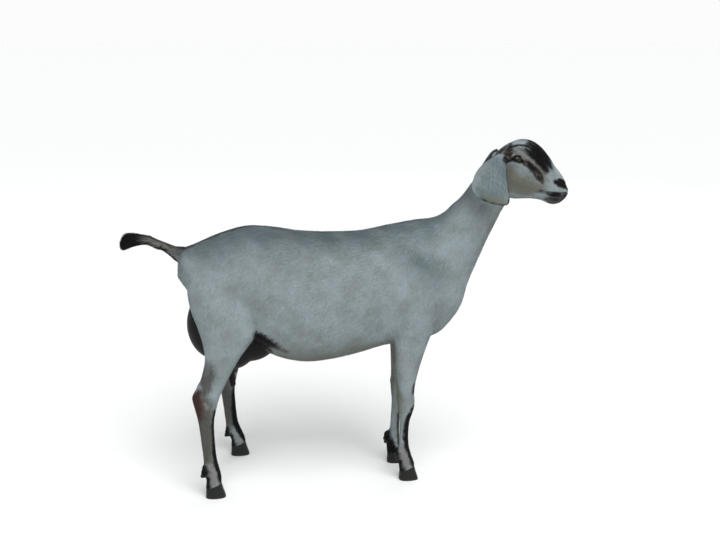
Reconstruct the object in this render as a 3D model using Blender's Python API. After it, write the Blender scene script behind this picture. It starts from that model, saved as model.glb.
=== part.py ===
# A Nubian dairy doe, life size, standing square with her right side to -Y and her head to +X.
# The flesh is lofted from rings, fused into one skin and parted with thin cuts. Horn and eyes stand apart.
# Units are metres, +Z is up and the floor is z = 0.

import math

import bmesh
import bpy
import numpy as np
from mathutils import Matrix, Vector

# Gaps and mesh sizes
GAP = 0.0003  # between pieces that touch
BODY_VOXEL = 0.0045
HEAD_VOXEL = 0.0028
BODY_TRIANGLES = 6000
HEAD_TRIANGLES = 2000

# The trunk, from rump to nape. Each ring joins a point of the topline to a point of the underline:
# top (x, z), bottom (x, z), half width, how far down it is widest, roundness above and below that.
TRUNK = {
    "rump end": ((-0.516, 0.688), (-0.525, 0.617), 0.040, 0.45, 2.2, 2.2),
    "seat": ((-0.502, 0.700), (-0.488, 0.566), 0.066, 0.45, 2.2, 2.6),
    "pins": ((-0.470, 0.714), (-0.468, 0.510), 0.089, 0.50, 2.2, 2.6),
    "thurls": ((-0.410, 0.740), (-0.405, 0.465), 0.112, 0.50, 2.2, 2.6),
    "hips": ((-0.328, 0.763), (-0.325, 0.430), 0.123, 0.52, 2.2, 2.4),
    "flank": ((-0.250, 0.760), (-0.250, 0.384), 0.150, 0.60, 2.0, 2.2),
    "last rib": ((-0.170, 0.747), (-0.167, 0.367), 0.174, 0.60, 2.0, 2.2),
    "barrel": ((-0.085, 0.743), (-0.090, 0.373), 0.178, 0.58, 2.0, 2.2),
    "girth": ((0.000, 0.746), (-0.010, 0.388), 0.161, 0.57, 1.95, 2.2),
    "heart": ((0.080, 0.762), (0.075, 0.407), 0.137, 0.56, 1.9, 2.0),
    "withers": ((0.155, 0.776), (0.155, 0.414), 0.120, 0.55, 1.8, 1.8),
    "shoulder": ((0.198, 0.780), (0.233, 0.441), 0.106, 0.53, 1.8, 1.7),
    "breast": ((0.222, 0.786), (0.291, 0.508), 0.090, 0.52, 1.85, 1.8),
    "neck root": ((0.244, 0.798), (0.314, 0.585), 0.074, 0.50, 1.9, 2.0),
    "neck low": ((0.266, 0.819), (0.341, 0.650), 0.060, 0.50, 2.0, 2.0),
    "neck mid": ((0.294, 0.845), (0.369, 0.716), 0.050, 0.50, 2.0, 2.0),
    "neck high": ((0.322, 0.883), (0.396, 0.775), 0.044, 0.50, 2.0, 2.0),
    "throat": ((0.350, 0.922), (0.420, 0.822), 0.042, 0.50, 2.1, 2.0),
    "nape": ((0.378, 0.957), (0.440, 0.868), 0.040, 0.50, 2.1, 2.0),
}

# The head, from behind the poll to the lips, in the same terms.
HEAD = {
    "occiput": ((0.392, 0.970), (0.392, 0.915), 0.034, 0.50, 2.1, 2.0),
    "poll": ((0.416, 0.988), (0.398, 0.890), 0.043, 0.42, 2.2, 2.0),
    "crown": ((0.452, 1.004), (0.407, 0.864), 0.048, 0.36, 2.3, 2.0),
    "brow": ((0.487, 1.002), (0.420, 0.842), 0.049, 0.33, 2.5, 1.9),
    "forehead": ((0.516, 0.983), (0.441, 0.834), 0.045, 0.33, 2.5, 1.8),
    "face": ((0.540, 0.954), (0.466, 0.834), 0.040, 0.34, 2.3, 1.8),
    "bridge": ((0.558, 0.928), (0.493, 0.834), 0.034, 0.38, 2.2, 1.9),
    "nose": ((0.575, 0.908), (0.518, 0.830), 0.030, 0.44, 2.2, 1.9),
    "nostril": ((0.588, 0.889), (0.540, 0.823), 0.0285, 0.46, 2.2, 1.9),
    "lips": ((0.5965, 0.869), (0.561, 0.820), 0.0250, 0.46, 2.2, 1.9),
    "mouth": ((0.6005, 0.861), (0.577, 0.822), 0.0195, 0.46, 2.1, 1.9),
    "front": ((0.6015, 0.853), (0.589, 0.830), 0.0110, 0.48, 2.0, 2.0),
}

# A limb's ring joins its front edge to its rear edge: front (x, z), rear (x, z), distance of its middle
# from the midline, half width, where it is widest counted from the front, roundness of front and rear.
FORE_LEG = {
    "blade": ((0.212, 0.600), (0.105, 0.620), 0.070, 0.038, 0.50, 2.0, 2.0),
    "upper arm": ((0.218, 0.535), (0.085, 0.560), 0.084, 0.043, 0.48, 2.0, 1.9),
    "elbow": ((0.205, 0.474), (0.083, 0.498), 0.089, 0.041, 0.46, 2.0, 1.8),
    "forearm top": ((0.191, 0.436), (0.091, 0.452), 0.088, 0.036, 0.45, 2.0, 1.9),
    "forearm": ((0.179, 0.396), (0.094, 0.406), 0.084, 0.031, 0.45, 2.0, 2.0),
    "forearm mid": ((0.168, 0.355), (0.097, 0.361), 0.080, 0.0265, 0.47, 2.0, 2.0),
    "forearm low": ((0.157, 0.305), (0.101, 0.309), 0.076, 0.0225, 0.50, 2.0, 2.0),
    "knee top": ((0.154, 0.272), (0.103, 0.272), 0.074, 0.0225, 0.45, 2.3, 2.1),
    "knee": ((0.156, 0.243), (0.104, 0.240), 0.072, 0.0245, 0.45, 2.4, 2.1),
    "knee low": ((0.150, 0.212), (0.109, 0.210), 0.070, 0.0195, 0.50, 2.3, 2.1),
    "cannon top": ((0.142, 0.184), (0.112, 0.184), 0.069, 0.0155, 0.50, 2.0, 2.0),
    "cannon": ((0.1395, 0.148), (0.1125, 0.148), 0.067, 0.0135, 0.50, 2.0, 2.0),
    "cannon low": ((0.1405, 0.112), (0.111, 0.110), 0.066, 0.0145, 0.50, 2.0, 2.0),
    "fetlock": ((0.1455, 0.088), (0.107, 0.080), 0.065, 0.0195, 0.50, 2.1, 2.1),
    "pastern": ((0.153, 0.065), (0.111, 0.053), 0.0645, 0.0175, 0.50, 2.1, 2.1),
    "coronet": ((0.1585, 0.047), (0.1130, 0.029), 0.064, 0.0200, 0.50, 2.3, 2.3),
    "hoof core": ((0.1590, 0.022), (0.1145, 0.012), 0.064, 0.0190, 0.50, 2.3, 2.3),
}
HIND_LEG = {
    "haunch": ((-0.325, 0.650), (-0.478, 0.665), 0.058, 0.036, 0.50, 2.0, 2.0),
    "thigh": ((-0.293, 0.575), (-0.491, 0.607), 0.077, 0.046, 0.50, 2.0, 2.0),
    "lower thigh": ((-0.290, 0.512), (-0.483, 0.555), 0.094, 0.047, 0.48, 2.0, 1.9),
    "stifle": ((-0.308, 0.464), (-0.464, 0.500), 0.107, 0.043, 0.42, 2.0, 1.8),
    "gaskin top": ((-0.332, 0.430), (-0.451, 0.452), 0.116, 0.036, 0.42, 2.0, 1.7),
    "gaskin": ((-0.356, 0.394), (-0.446, 0.409), 0.124, 0.0295, 0.42, 2.0, 1.7),
    "gaskin low": ((-0.380, 0.352), (-0.455, 0.364), 0.130, 0.0240, 0.42, 2.0, 1.7),
    "hock top": ((-0.397, 0.318), (-0.475, 0.320), 0.134, 0.0210, 0.42, 2.1, 1.8),
    "hock": ((-0.409, 0.290), (-0.4845, 0.297), 0.136, 0.0215, 0.42, 2.2, 1.9),
    "hock low": ((-0.418, 0.256), (-0.475, 0.254), 0.138, 0.0195, 0.45, 2.2, 2.0),
    "cannon top": ((-0.424, 0.220), (-0.468, 0.218), 0.140, 0.0160, 0.50, 2.1, 2.0),
    "cannon": ((-0.423, 0.165), (-0.462, 0.162), 0.143, 0.0140, 0.50, 2.0, 2.0),
    "cannon low": ((-0.419, 0.115), (-0.457, 0.110), 0.145, 0.0150, 0.50, 2.0, 2.0),
    "fetlock": ((-0.413, 0.088), (-0.459, 0.078), 0.147, 0.0200, 0.50, 2.1, 2.1),
    "pastern": ((-0.408, 0.066), (-0.4515, 0.052), 0.148, 0.0180, 0.50, 2.1, 2.1),
    "coronet": ((-0.4080, 0.047), (-0.4535, 0.029), 0.148, 0.0202, 0.50, 2.3, 2.3),
    "hoof core": ((-0.4070, 0.022), (-0.4525, 0.012), 0.148, 0.0190, 0.50, 2.3, 2.3),
}
# How far each leg is carried forward of the plain stance above: height and distance, from floor to hip.
STRIDE = {
    "fore_right": ((0.0, 0.0), (1.0, 0.0)),
    "fore_left": ((0.0, -0.025), (0.047, -0.025), (0.065, -0.026), (0.08, -0.022), (0.11, -0.015),
                  (0.17, -0.012), (0.22, -0.007), (0.35, 0.0)),
    "hind_right": ((0.0, 0.0), (1.0, 0.0)),
    "hind_left": ((0.0, 0.056), (0.047, 0.056), (0.07, 0.050), (0.10, 0.045), (0.30, 0.043), (0.45, 0.026),
                  (0.62, 0.0)),
}

# The dock of the tail: top (x, z), bottom (x, z), half width.
TAIL = {
    "root": ((-0.470, 0.706), (-0.475, 0.652), 0.026),
    "set": ((-0.520, 0.707), (-0.523, 0.660), 0.020),
    "rise": ((-0.556, 0.719), (-0.552, 0.685), 0.0155),
    "bow": ((-0.590, 0.733), (-0.586, 0.708), 0.0120),
    "level": ((-0.622, 0.738), (-0.620, 0.716), 0.0105),
    "end": ((-0.650, 0.734), (-0.650, 0.714), 0.0080),
}
# The hair of the tail, in rows of locks: distance of their roots along the dock, locks in the row, their
# length, half width and thickness, and how far their tips stand off the dock.
TAIL_LOCKS = {
    "dock": (0.30, 4, 0.050, 0.0090, 0.0026, 0.0030),
    "middle": (0.54, 5, 0.050, 0.0085, 0.0026, 0.0050),
    "tuft root": (0.74, 6, 0.063, 0.0110, 0.0034, 0.0125),
    "tuft": (0.88, 5, 0.049, 0.0105, 0.0042, 0.0090),
    "tip": (0.97, 5, 0.038, 0.0075, 0.0048, 0.0045),
}
LOCK_DROOP = 0.008
LOCK_SEED = 7

# Muscle and bone under the skin, on both sides of the midline: centre (x, out, z), reach along, across and
# upright, pitch of the long axis in degrees, nose down, and how far the skin is raised or drawn in.
SWELLINGS = {
    "hip bone": ((-0.322, 0.100, 0.738), (0.038, 0.040, 0.022), -6, 0.012),
    "flank hollow": ((-0.228, 0.125, 0.682), (0.060, 0.060, 0.042), -8, -0.014),
    "loin edge": ((-0.235, 0.085, 0.738), (0.080, 0.030, 0.018), -6, 0.005),
    "rump hollow": ((-0.405, 0.090, 0.690), (0.045, 0.045, 0.032), 10, -0.006),
    "pin bone": ((-0.492, 0.052, 0.682), (0.026, 0.030, 0.022), 20, 0.010),
    "thigh": ((-0.425, 0.120, 0.585), (0.060, 0.060, 0.085), 10, 0.008),
    "stifle": ((-0.315, 0.140, 0.480), (0.030, 0.040, 0.040), 50, 0.007),
    "shoulder blade": ((0.200, 0.105, 0.660), (0.115, 0.050, 0.040), 66, 0.011),
    "blade top": ((0.160, 0.055, 0.752), (0.038, 0.035, 0.024), -10, 0.006),
    "point of shoulder": ((0.262, 0.075, 0.548), (0.034, 0.040, 0.038), 40, 0.012),
    "triceps": ((0.142, 0.120, 0.560), (0.052, 0.050, 0.052), -30, 0.008),
    "flank fold": ((-0.282, 0.138, 0.500), (0.045, 0.050, 0.055), 40, 0.007),
    "behind elbow": ((0.062, 0.130, 0.520), (0.028, 0.050, 0.080), 0, -0.007),
    "neck groove": ((0.268, 0.070, 0.690), (0.110, 0.030, 0.020), -64, -0.004),
    "elbow": ((0.092, 0.110, 0.488), (0.020, 0.030, 0.024), 0, 0.006),
    "cheek": ((0.442, 0.045, 0.888), (0.036, 0.030, 0.036), 60, 0.0075),
    "jaw edge": ((0.420, 0.040, 0.860), (0.030, 0.022, 0.018), 45, 0.004),
    "cheekbone": ((0.476, 0.045, 0.918), (0.038, 0.022, 0.010), 40, 0.0045),
    "face hollow": ((0.506, 0.038, 0.896), (0.026, 0.020, 0.014), 44, -0.004),
    "orbit": ((0.4365, 0.048, 0.9535), (0.0215, 0.030, 0.0185), 26, 0.0100),
    "brow": ((0.452, 0.036, 0.976), (0.020, 0.016, 0.010), 30, 0.0040),
    "temple": ((0.412, 0.042, 0.958), (0.010, 0.020, 0.014), 0, -0.003),
    "upper lip": ((0.566, 0.024, 0.868), (0.024, 0.016, 0.012), 26, 0.0035),
    "lower lip": ((0.556, 0.022, 0.838), (0.024, 0.014, 0.009), 4, 0.0025),
    "nostril wing": ((0.574, 0.024, 0.890), (0.014, 0.014, 0.011), 40, 0.0030),
    "mouth corner": ((0.514, 0.034, 0.860), (0.010, 0.012, 0.010), 0, 0.0020),
}
# The same on the midline.
MIDLINE = {
    "brisket": ((0.232, 0.0, 0.450), (0.045, 0.045, 0.030), 40, 0.003),
    "keel": ((0.130, 0.0, 0.410), (0.090, 0.030, 0.030), -6, 0.004),
    "chin": ((0.556, 0.0, 0.822), (0.020, 0.022, 0.010), 0, 0.0040),
    "nose ridge": ((0.540, 0.0, 0.950), (0.050, 0.014, 0.020), 50, 0.0015),
    "nose tip": ((0.597, 0.0, 0.872), (0.010, 0.008, 0.016), 0, -0.0015),
}

# The udder: two halves with a teat each.
UDDER = {
    "rear": ((-0.421, 0.040, 0.487), (0.081, 0.052, 0.106), 0),
    "bag": ((-0.377, 0.044, 0.420), (0.076, 0.052, 0.070), 0),
    "front": ((-0.325, 0.040, 0.430), (0.080, 0.048, 0.058), 0),
}
TEAT_TOP = (-0.380, 0.058, 0.372)
TEAT_TIP = (-0.372, 0.064, 0.300)
TEAT = ((0.0, 0.0170), (0.35, 0.0122), (0.70, 0.0108), (0.92, 0.0090), (1.0, 0.0050))  # share down, radius

# Eyes and the almond opening between the lids.
EYE_CENTRE = (0.4375, 0.0405, 0.9525)
EYE_RADIUS = 0.0160
EYE_FORWARD = 24  # degrees that the gaze turns forward of square
EYE_UP = 8
LID_TILT = 26  # degrees that the front corner lies below the rear one
LID_HALF_LENGTH = 0.0140
LID_HALF_HEIGHTS = (0.0080, 0.0062)  # upper and lower
LID_RIM = 0.0016

# Nostrils and mouth.
NOSTRIL = ((0.5745, 0.0215, 0.8835), (0.0105, 0.0075, 0.0042), 28)
NOSTRIL_TURN = -38  # degrees that its long axis turns in towards the nose tip
MOUTH_LINE = ((0.513, 0.0320, 0.8640), (0.530, 0.0310, 0.8585), (0.552, 0.0285, 0.8550),
              (0.573, 0.0250, 0.8535), (0.590, 0.0165, 0.8530), (0.5975, 0.0, 0.8525))
MOUTH_DEPTH = 0.0040
MOUTH_HEIGHT = 0.0042  # at the outside of the groove

# The long hanging ear. Its leaf is given at steps from root to lowest edge: height, front edge, rear edge,
# stand-off from the midline, and the half angle of its curl.
EAR = {
    "root": (0.970, 0.4055, 0.3870, 0.045, 88),
    "shoulder": (0.9555, 0.4060, 0.3585, 0.056, 72),
    "upper": (0.9370, 0.4050, 0.3300, 0.070, 57),
    "middle": (0.910, 0.4055, 0.3110, 0.084, 47),
    "broad": (0.883, 0.4070, 0.3050, 0.096, 41),
    "lower": (0.860, 0.4090, 0.3180, 0.106, 36),
    "edge": (0.845, 0.4080, 0.3440, 0.112, 33),
    "tip": (0.836, 0.4020, 0.3780, 0.115, 30),
}
EAR_THICKNESS = (0.0070, 0.0034)  # at the root and at the edge
# How each ear hangs: degrees turned forward about its root, and share of the stand-off above.
EAR_HANG = {"right": (0, 1.0), "left": (31, 0.75)}
EAR_ROOT = (0.398, 0.960)
EAR_BULB = ((0.402, 0.043, 0.950), (0.016, 0.014, 0.020), 60)

# Cloven feet: two claws a foot, each with a flat sole.
CLAW_LENGTH = 0.0577
CLAW_TOE_HEIGHT = 0.0440
CLAW_HEEL_HEIGHT = 0.0270
CLAW_HALF_WIDTH = 0.0235  # from the cleft to the outer wall at the sole
CLEFT = 0.0036
TOE_SLOPE = 0.0130  # how far the toe runs ahead of the coronet
HEEL_SLOPE = 0.0020
HEEL_X = {"fore": 0.1125, "hind": -0.4540}
FOOT_OUT = {"fore": 0.064, "hind": 0.148}
DEWCLAW_SIZE = (0.0085, 0.0065, 0.0110)
DEWCLAW_PLACE = {"fore": (0.1095, 0.0120, 0.0735), "hind": (-0.4570, 0.0125, 0.0725)}

# Where the flesh is parted into nodes. A cut plane has a point and a pitch in degrees, top forward.
HEAD_CUT = ((0.4125, 0.0, 0.905), -10)
NECK_CUT = ((0.265, 0.0, 0.655), -10.5)
TAIL_CUT_X = -0.518
FORE_LEG_TOP = 0.432
FORE_LEG_INSIDE = 0.030
FORE_LEG_ENDS = (0.050, 0.262)
KNEE_Z = 0.205
HOCK_Z = 0.262
LOWER_LEG_ENDS = {"fore": (0.040, 0.260), "hind": (-0.560, -0.280)}
LOWER_LEG_INSIDE = 0.020
SIDE_REACH = 0.300  # beyond the widest part
HIND_LEG_PIVOT = (-0.390, 0.066, 0.500)  # on the inside of the thigh
HIND_LEG_TURN = (14, 15)  # roll outwards and pitch of its cuts
HIND_LEG_FRONT = 0.105  # from the pivot
HIND_LEG_TOP = 0.020
UDDER_CUT = ((-0.262, 0.0, 0.385), 36)

# Finishes: base colour, roughness.
COAT = ("pale_coat", (0.33, 0.36, 0.37), 0.8)
DARK_COAT = ("dark_coat", (0.03, 0.027, 0.025), 0.8)
UDDER_SKIN = ("udder_skin", (0.05, 0.04, 0.04), 0.6)
HORN = ("hoof_horn", (0.035, 0.035, 0.033), 0.5)
EYE = ("eye", (0.06, 0.03, 0.012), 0.1)


def catmull(rows, steps):
    """Rows of numbers, smoothed through every given row with steps rows to each stretch."""
    rows = np.array(rows, float)
    ends = np.vstack([2 * rows[0] - rows[1], rows, 2 * rows[-1] - rows[-2]])
    out = []
    for i in range(len(rows) - 1):
        a, b, c, d = ends[i : i + 4]
        for t in np.arange(steps) / steps:
            out.append(0.5 * (2 * b + (c - a) * t + (2 * a - 5 * b + 4 * c - d) * t**2
                              + (3 * b - a - 3 * c + d) * t**3))
    return np.array(out + [rows[-1]])


def new_object(name, points, faces):
    mesh = bpy.data.meshes.new(name)
    mesh.from_pydata([tuple(p) for p in points], [], [tuple(f) for f in faces])
    obj = bpy.data.objects.new(name, mesh)
    bpy.context.scene.collection.objects.link(obj)
    return obj


def face_out(obj):
    work = bmesh.new()
    work.from_mesh(obj.data)
    bmesh.ops.recalc_face_normals(work, faces=work.faces)
    work.to_mesh(obj.data)
    work.free()
    return obj


def skin_rings(name, rings):
    """A closed tube over rings of equal point counts, with a point at each end."""
    count = len(rings[0])
    points = [p for ring in rings for p in ring]
    faces = []
    for i in range(len(rings) - 1):
        for j in range(count):
            k = (j + 1) % count
            faces.append((i * count + j, i * count + k, (i + 1) * count + k, (i + 1) * count + j))
    points += [np.mean(rings[0], axis=0), np.mean(rings[-1], axis=0)]
    last = (len(rings) - 1) * count
    for j in range(count):
        k = (j + 1) % count
        faces.append((len(points) - 2, k, j))
        faces.append((len(points) - 1, last + j, last + k))
    return face_out(new_object(name, points, faces))


def ring_band(name, rings):
    """A closed band over rings that come back to the first."""
    count, size = len(rings), len(rings[0])
    faces = []
    for i in range(count):
        for j in range(size):
            k, n = (j + 1) % size, (i + 1) % count
            faces.append((i * size + j, i * size + k, n * size + k, n * size + j))
    return face_out(new_object(name, [p for ring in rings for p in ring], faces))


def loft(name, rows, sides=28, steps=4, side=1):
    """Lofts rows of (ax, az, bx, bz, out, half width, share, round a, round b). Each ring stands across
    the midline plane, from its edge a to its edge b."""
    rings = []
    turn = np.linspace(0, 2 * math.pi, sides, endpoint=False)
    for ax, az, bx, bz, out, half, share, round_a, round_b in catmull(rows, steps):
        a, b = np.array([ax, az]), np.array([bx, bz])
        middle = a + share * (b - a)
        ring = []
        for c, s in zip(np.cos(turn), np.sin(turn)):
            power = 2 / (round_a if s > 0 else round_b)
            reach = (a - middle) if s > 0 else (b - middle)
            x, z = middle + reach * abs(s) ** power
            y = out + half * math.copysign(abs(c) ** power, c)
            ring.append((x, side * y, z))
        rings.append(np.array(ring))
    return skin_rings(name, rings)


def trunk_rows(table):
    return [(*top, *bottom, 0.0, *rest) for top, bottom, *rest in table.values()]


def stride_shift(leg, z):
    """How far forward this leg stands at height z."""
    return float(np.interp(z, *zip(*STRIDE[leg])))


def leg_rows(table, leg):
    rows = []
    for (ax, az), (bx, bz), *rest in table.values():
        rows.append((ax + stride_shift(leg, az), az, bx + stride_shift(leg, bz), bz, *rest))
    return rows


def tail_rows():
    return [(*top, *bottom, 0.0, half, 0.45, 2.0, 2.0) for top, bottom, half in TAIL.values()]


def ellipsoid(name, centre, radii, pitch=0, side=1, grow=0.0, turn=0, segments=20):
    """An ellipsoid whose long axis dips forward by pitch degrees, turned about the upright by turn."""
    work = bmesh.new()
    bmesh.ops.create_uvsphere(work, u_segments=segments, v_segments=segments // 2, radius=1.0)
    x, y, z = centre
    place = Matrix.Translation((x, side * y, z)) @ Matrix.Rotation(math.radians(side * turn), 4, "Z")
    place = place @ Matrix.Rotation(math.radians(pitch), 4, "Y")
    place = place @ Matrix.Diagonal([r + grow for r in radii] + [1.0])
    bmesh.ops.transform(work, matrix=place, verts=work.verts)
    mesh = bpy.data.meshes.new(name)
    work.to_mesh(mesh)
    work.free()
    obj = bpy.data.objects.new(name, mesh)
    bpy.context.scene.collection.objects.link(obj)
    return obj


def tube(name, path, radii, sides=12):
    """A round tube through the points of path, with a radius at each."""
    path = np.array(path, float)
    rings = []
    for i, centre in enumerate(path):
        along = Vector(path[min(i + 1, len(path) - 1)] - path[max(i - 1, 0)]).normalized()
        across = along.orthogonal() if i == 0 else (across - along * across.dot(along))
        across.normalize()
        up = along.cross(across)
        turn = np.linspace(0, 2 * math.pi, sides, endpoint=False)
        spokes = [math.cos(t) * np.array(across) + math.sin(t) * np.array(up) for t in turn]
        rings.append(np.array([centre + radii[i] * spoke for spoke in spokes]))
    return skin_rings(name, rings)


def box(name, low, high, turn=(0, 0), about=(0, 0, 0)):
    """A box from corner low to corner high, rolled and pitched in degrees and then moved by about."""
    (x0, y0, z0), (x1, y1, z1) = low, high
    corners = [Vector((x, y, z)) for x in (x0, x1) for y in (y0, y1) for z in (z0, z1)]
    spin = Matrix.Rotation(math.radians(turn[1]), 3, "Y") @ Matrix.Rotation(math.radians(turn[0]), 3, "X")
    corners = [spin @ corner + Vector(about) for corner in corners]
    faces = [(0, 1, 3, 2), (4, 6, 7, 5), (0, 4, 5, 1), (2, 3, 7, 6), (0, 2, 6, 4), (1, 5, 7, 3)]
    return face_out(new_object(name, corners, faces))


def baked(obj):
    """Applies every modifier of obj to its mesh."""
    graph = bpy.context.evaluated_depsgraph_get()
    mesh = bpy.data.meshes.new_from_object(obj.evaluated_get(graph))
    old = obj.data
    obj.modifiers.clear()
    obj.data = mesh
    bpy.data.meshes.remove(old)
    return obj


def remove(objects):
    for obj in objects:
        bpy.data.objects.remove(obj)


def join(name, objects):
    """One object from the meshes of several, which are removed."""
    work = bmesh.new()
    for obj in objects:
        work.from_mesh(obj.data)
    mesh = bpy.data.meshes.new(name)
    work.to_mesh(mesh)
    work.free()
    remove(objects)
    obj = bpy.data.objects.new(name, mesh)
    bpy.context.scene.collection.objects.link(obj)
    return obj


def relax(points, edges, rounds, weights=None):
    """Evens out creases: every round moves each point half way to its neighbours' middle and then back
    by slightly more, so that thin parts keep their girth."""
    a, b = edges.T
    degree = np.bincount(np.concatenate([a, b]), minlength=len(points)).astype(float)
    for step in np.tile((0.5, -0.52), rounds):
        total = np.stack([np.bincount(a, points[b, i], len(points))
                          + np.bincount(b, points[a, i], len(points)) for i in range(3)], axis=1)
        move = step * (total / degree[:, None] - points)
        points = points + (move if weights is None else move * weights[:, None])
    return points


def swollen(points, normals, table, mirrored):
    """Moves the points along their normals by every swelling of the table that reaches them."""
    for centre, reach, pitch, height in table.values():
        turn = np.array(Matrix.Rotation(math.radians(pitch), 3, "Y"))
        for side in (-1, 1) if mirrored else (1,):
            away = ((points - np.array(centre) * (1, side, 1)) @ turn) / reach
            points = points + normals * (height * np.exp(-1.2 * (away**2).sum(axis=1)))[:, None]
    return points


def fused(name, objects, voxel, triangles, soft=None):
    """Overlapping closed shapes made one smooth closed skin of about that many triangles. Soft gives the
    share of heavy smoothing that each point takes."""
    obj = join(name, objects)
    remesh = obj.modifiers.new("fuse", "REMESH")
    remesh.mode = "VOXEL"
    remesh.voxel_size = voxel
    mesh = baked(obj).data
    points = np.array([v.co[:] for v in mesh.vertices])
    edges = np.array([e.vertices[:] for e in mesh.edges])
    points = relax(points, edges, 8)
    if soft:
        points = relax(points, edges, 110, soft(points))
    mesh.vertices.foreach_set("co", points.ravel())
    mesh.update()
    normals = np.array([v.normal[:] for v in mesh.vertices])
    points = swollen(points, normals, SWELLINGS, True)
    points = swollen(points, normals, MIDLINE, False)
    mesh.vertices.foreach_set("co", relax(points, edges, 3).ravel())
    mesh.update()
    thin = obj.modifiers.new("thin", "DECIMATE")
    thin.ratio = min(1.0, triangles / (2 * len(mesh.polygons)))
    return keep_largest(baked(obj))


def trunk_share(points):
    """How much of the heavy smoothing a point takes: all of it on the trunk, none on legs, head and tail."""
    x, z = points[:, 0], points[:, 2]
    share = np.clip((z - 0.38) / 0.10, 0, 1) * np.clip((x + 0.530) / 0.03, 0, 1)
    return share * np.clip((0.30 - x) / 0.05, 0, 1)


def boolean(obj, operation, others, solver="EXACT"):
    """Cuts or joins others with obj, and removes them."""
    group = bpy.data.collections.new("operands")
    bpy.context.scene.collection.children.link(group)
    for other in others:
        bpy.context.scene.collection.objects.unlink(other)
        group.objects.link(other)
    modifier = obj.modifiers.new(operation.lower(), "BOOLEAN")
    modifier.operation = operation
    modifier.solver = solver
    modifier.operand_type = "COLLECTION"
    modifier.collection = group
    baked(obj)
    remove(list(group.objects))
    bpy.data.collections.remove(group)
    return obj


def keep_largest(obj):
    """Keeps the largest closed surface of obj and drops loose scraps."""
    work = bmesh.new()
    work.from_mesh(obj.data)
    bmesh.ops.triangulate(work, faces=work.faces)
    work.verts.ensure_lookup_table()
    part_of = {}
    sizes = []
    for start in work.verts:
        if start in part_of:
            continue
        part_of[start] = len(sizes)
        open_ends, count = [start], 0
        while open_ends:
            vert = open_ends.pop()
            count += 1
            for edge in vert.link_edges:
                other = edge.other_vert(vert)
                if other not in part_of:
                    part_of[other] = len(sizes)
                    open_ends.append(other)
        sizes.append(count)
    largest = int(np.argmax(sizes))
    loose = [vert for vert, part in part_of.items() if part != largest]
    bmesh.ops.delete(work, geom=loose, context="VERTS")
    work.to_mesh(obj.data)
    work.free()
    return obj


def copy_of(obj, name):
    twin = bpy.data.objects.new(name, obj.data.copy())
    bpy.context.scene.collection.objects.link(twin)
    return twin


def take(body, name, low, high, turn=(0, 0), about=(0, 0, 0)):
    """Parts the flesh inside a box off body as a node, and leaves a gap round it."""
    piece = copy_of(body, name)
    boolean(piece, "INTERSECT", [box("inside", low, high, turn, about)])
    low, high = [c - GAP for c in low], [c + GAP for c in high]
    boolean(body, "DIFFERENCE", [box("outside", low, high, turn, about)])
    keep_largest(body)
    return keep_largest(piece)


def finish(obj, finish_of):
    """Gives obj its material and smooth shading."""
    name, colour, roughness = finish_of
    material = bpy.data.materials.get(name)
    if material is None:
        material = bpy.data.materials.new(name)
        material.use_nodes = True
        shader = material.node_tree.nodes["Principled BSDF"]
        shader.inputs["Base Color"].default_value = (*colour, 1.0)
        shader.inputs["Roughness"].default_value = roughness
        shader.inputs["Metallic"].default_value = 0.0
    obj.data.materials.clear()
    obj.data.materials.append(material)
    obj.data.shade_smooth()
    obj.data.set_sharp_from_angle(angle=math.radians(40))
    return obj


def head_shapes():
    return [loft("skull", trunk_rows(HEAD)), loft("neck end", trunk_rows(TRUNK)[-6:])]


def teat(side):
    top, tip = np.array(TEAT_TOP), np.array(TEAT_TIP)
    path = [(top + (tip - top) * share) * (1, side, 1) for share, _ in TEAT]
    return tube("teat", path, [radius for _, radius in TEAT])


def dock_point(share):
    """The middle of the dock and its half height and half width, share of the way from set to end."""
    rows = catmull(tail_rows(), 6)
    start = 6
    at = start + share * (len(rows) - 1 - start)
    ax, az, bx, bz, _, half, *_ = [np.interp(at, range(len(rows)), column) for column in rows.T]
    return np.array([(ax + bx) / 2, 0, (az + bz) / 2]), math.hypot(ax - bx, az - bz) / 2, half


def tail_locks():
    """Flat, tapered locks in rows round the dock, swept back over one another."""
    draw = np.random.default_rng(LOCK_SEED)
    locks = []
    for share, count, length, half, thick, lift in TAIL_LOCKS.values():
        root, tall, wide = dock_point(share)
        ahead = dock_point(max(share - 0.08, 0))[0]
        along = (root - ahead) / np.linalg.norm(root - ahead)
        upright = np.array([-along[2], 0, along[0]])
        upright *= math.copysign(1, upright[2])
        for k in range(count):
            turn = 2 * math.pi * (k + 0.5 * (len(locks) % 2)) / count + draw.uniform(-0.12, 0.12)
            out = upright * math.sin(turn) * tall + np.array([0, math.cos(turn) * wide, 0])
            out_unit = out / np.linalg.norm(out)
            across = np.cross(along, out_unit)
            reach = length * draw.uniform(0.92, 1.04)
            tip_lift = lift * draw.uniform(0.85, 1.10)
            rings = []
            for t in (-0.15, 0.35, 0.78, 1.0):
                rise = tip_lift * math.sin(0.5 * math.pi * min(1.0, max(t, 0) / 0.8))
                middle = root + out * 0.70 + along * reach * t + out_unit * rise
                middle = middle - np.array([0, 0, LOCK_DROOP * max(t, 0) ** 2])
                slim = (1 - max(t, 0) ** 3.5) * 0.92 + 0.08
                w, h = across * half * slim, out_unit * thick * (0.35 + 0.65 * slim)
                rings.append(np.array([middle - w, middle + h, middle + w, middle - h]))
            locks.append(skin_rings("lock", rings))
    return locks


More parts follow.
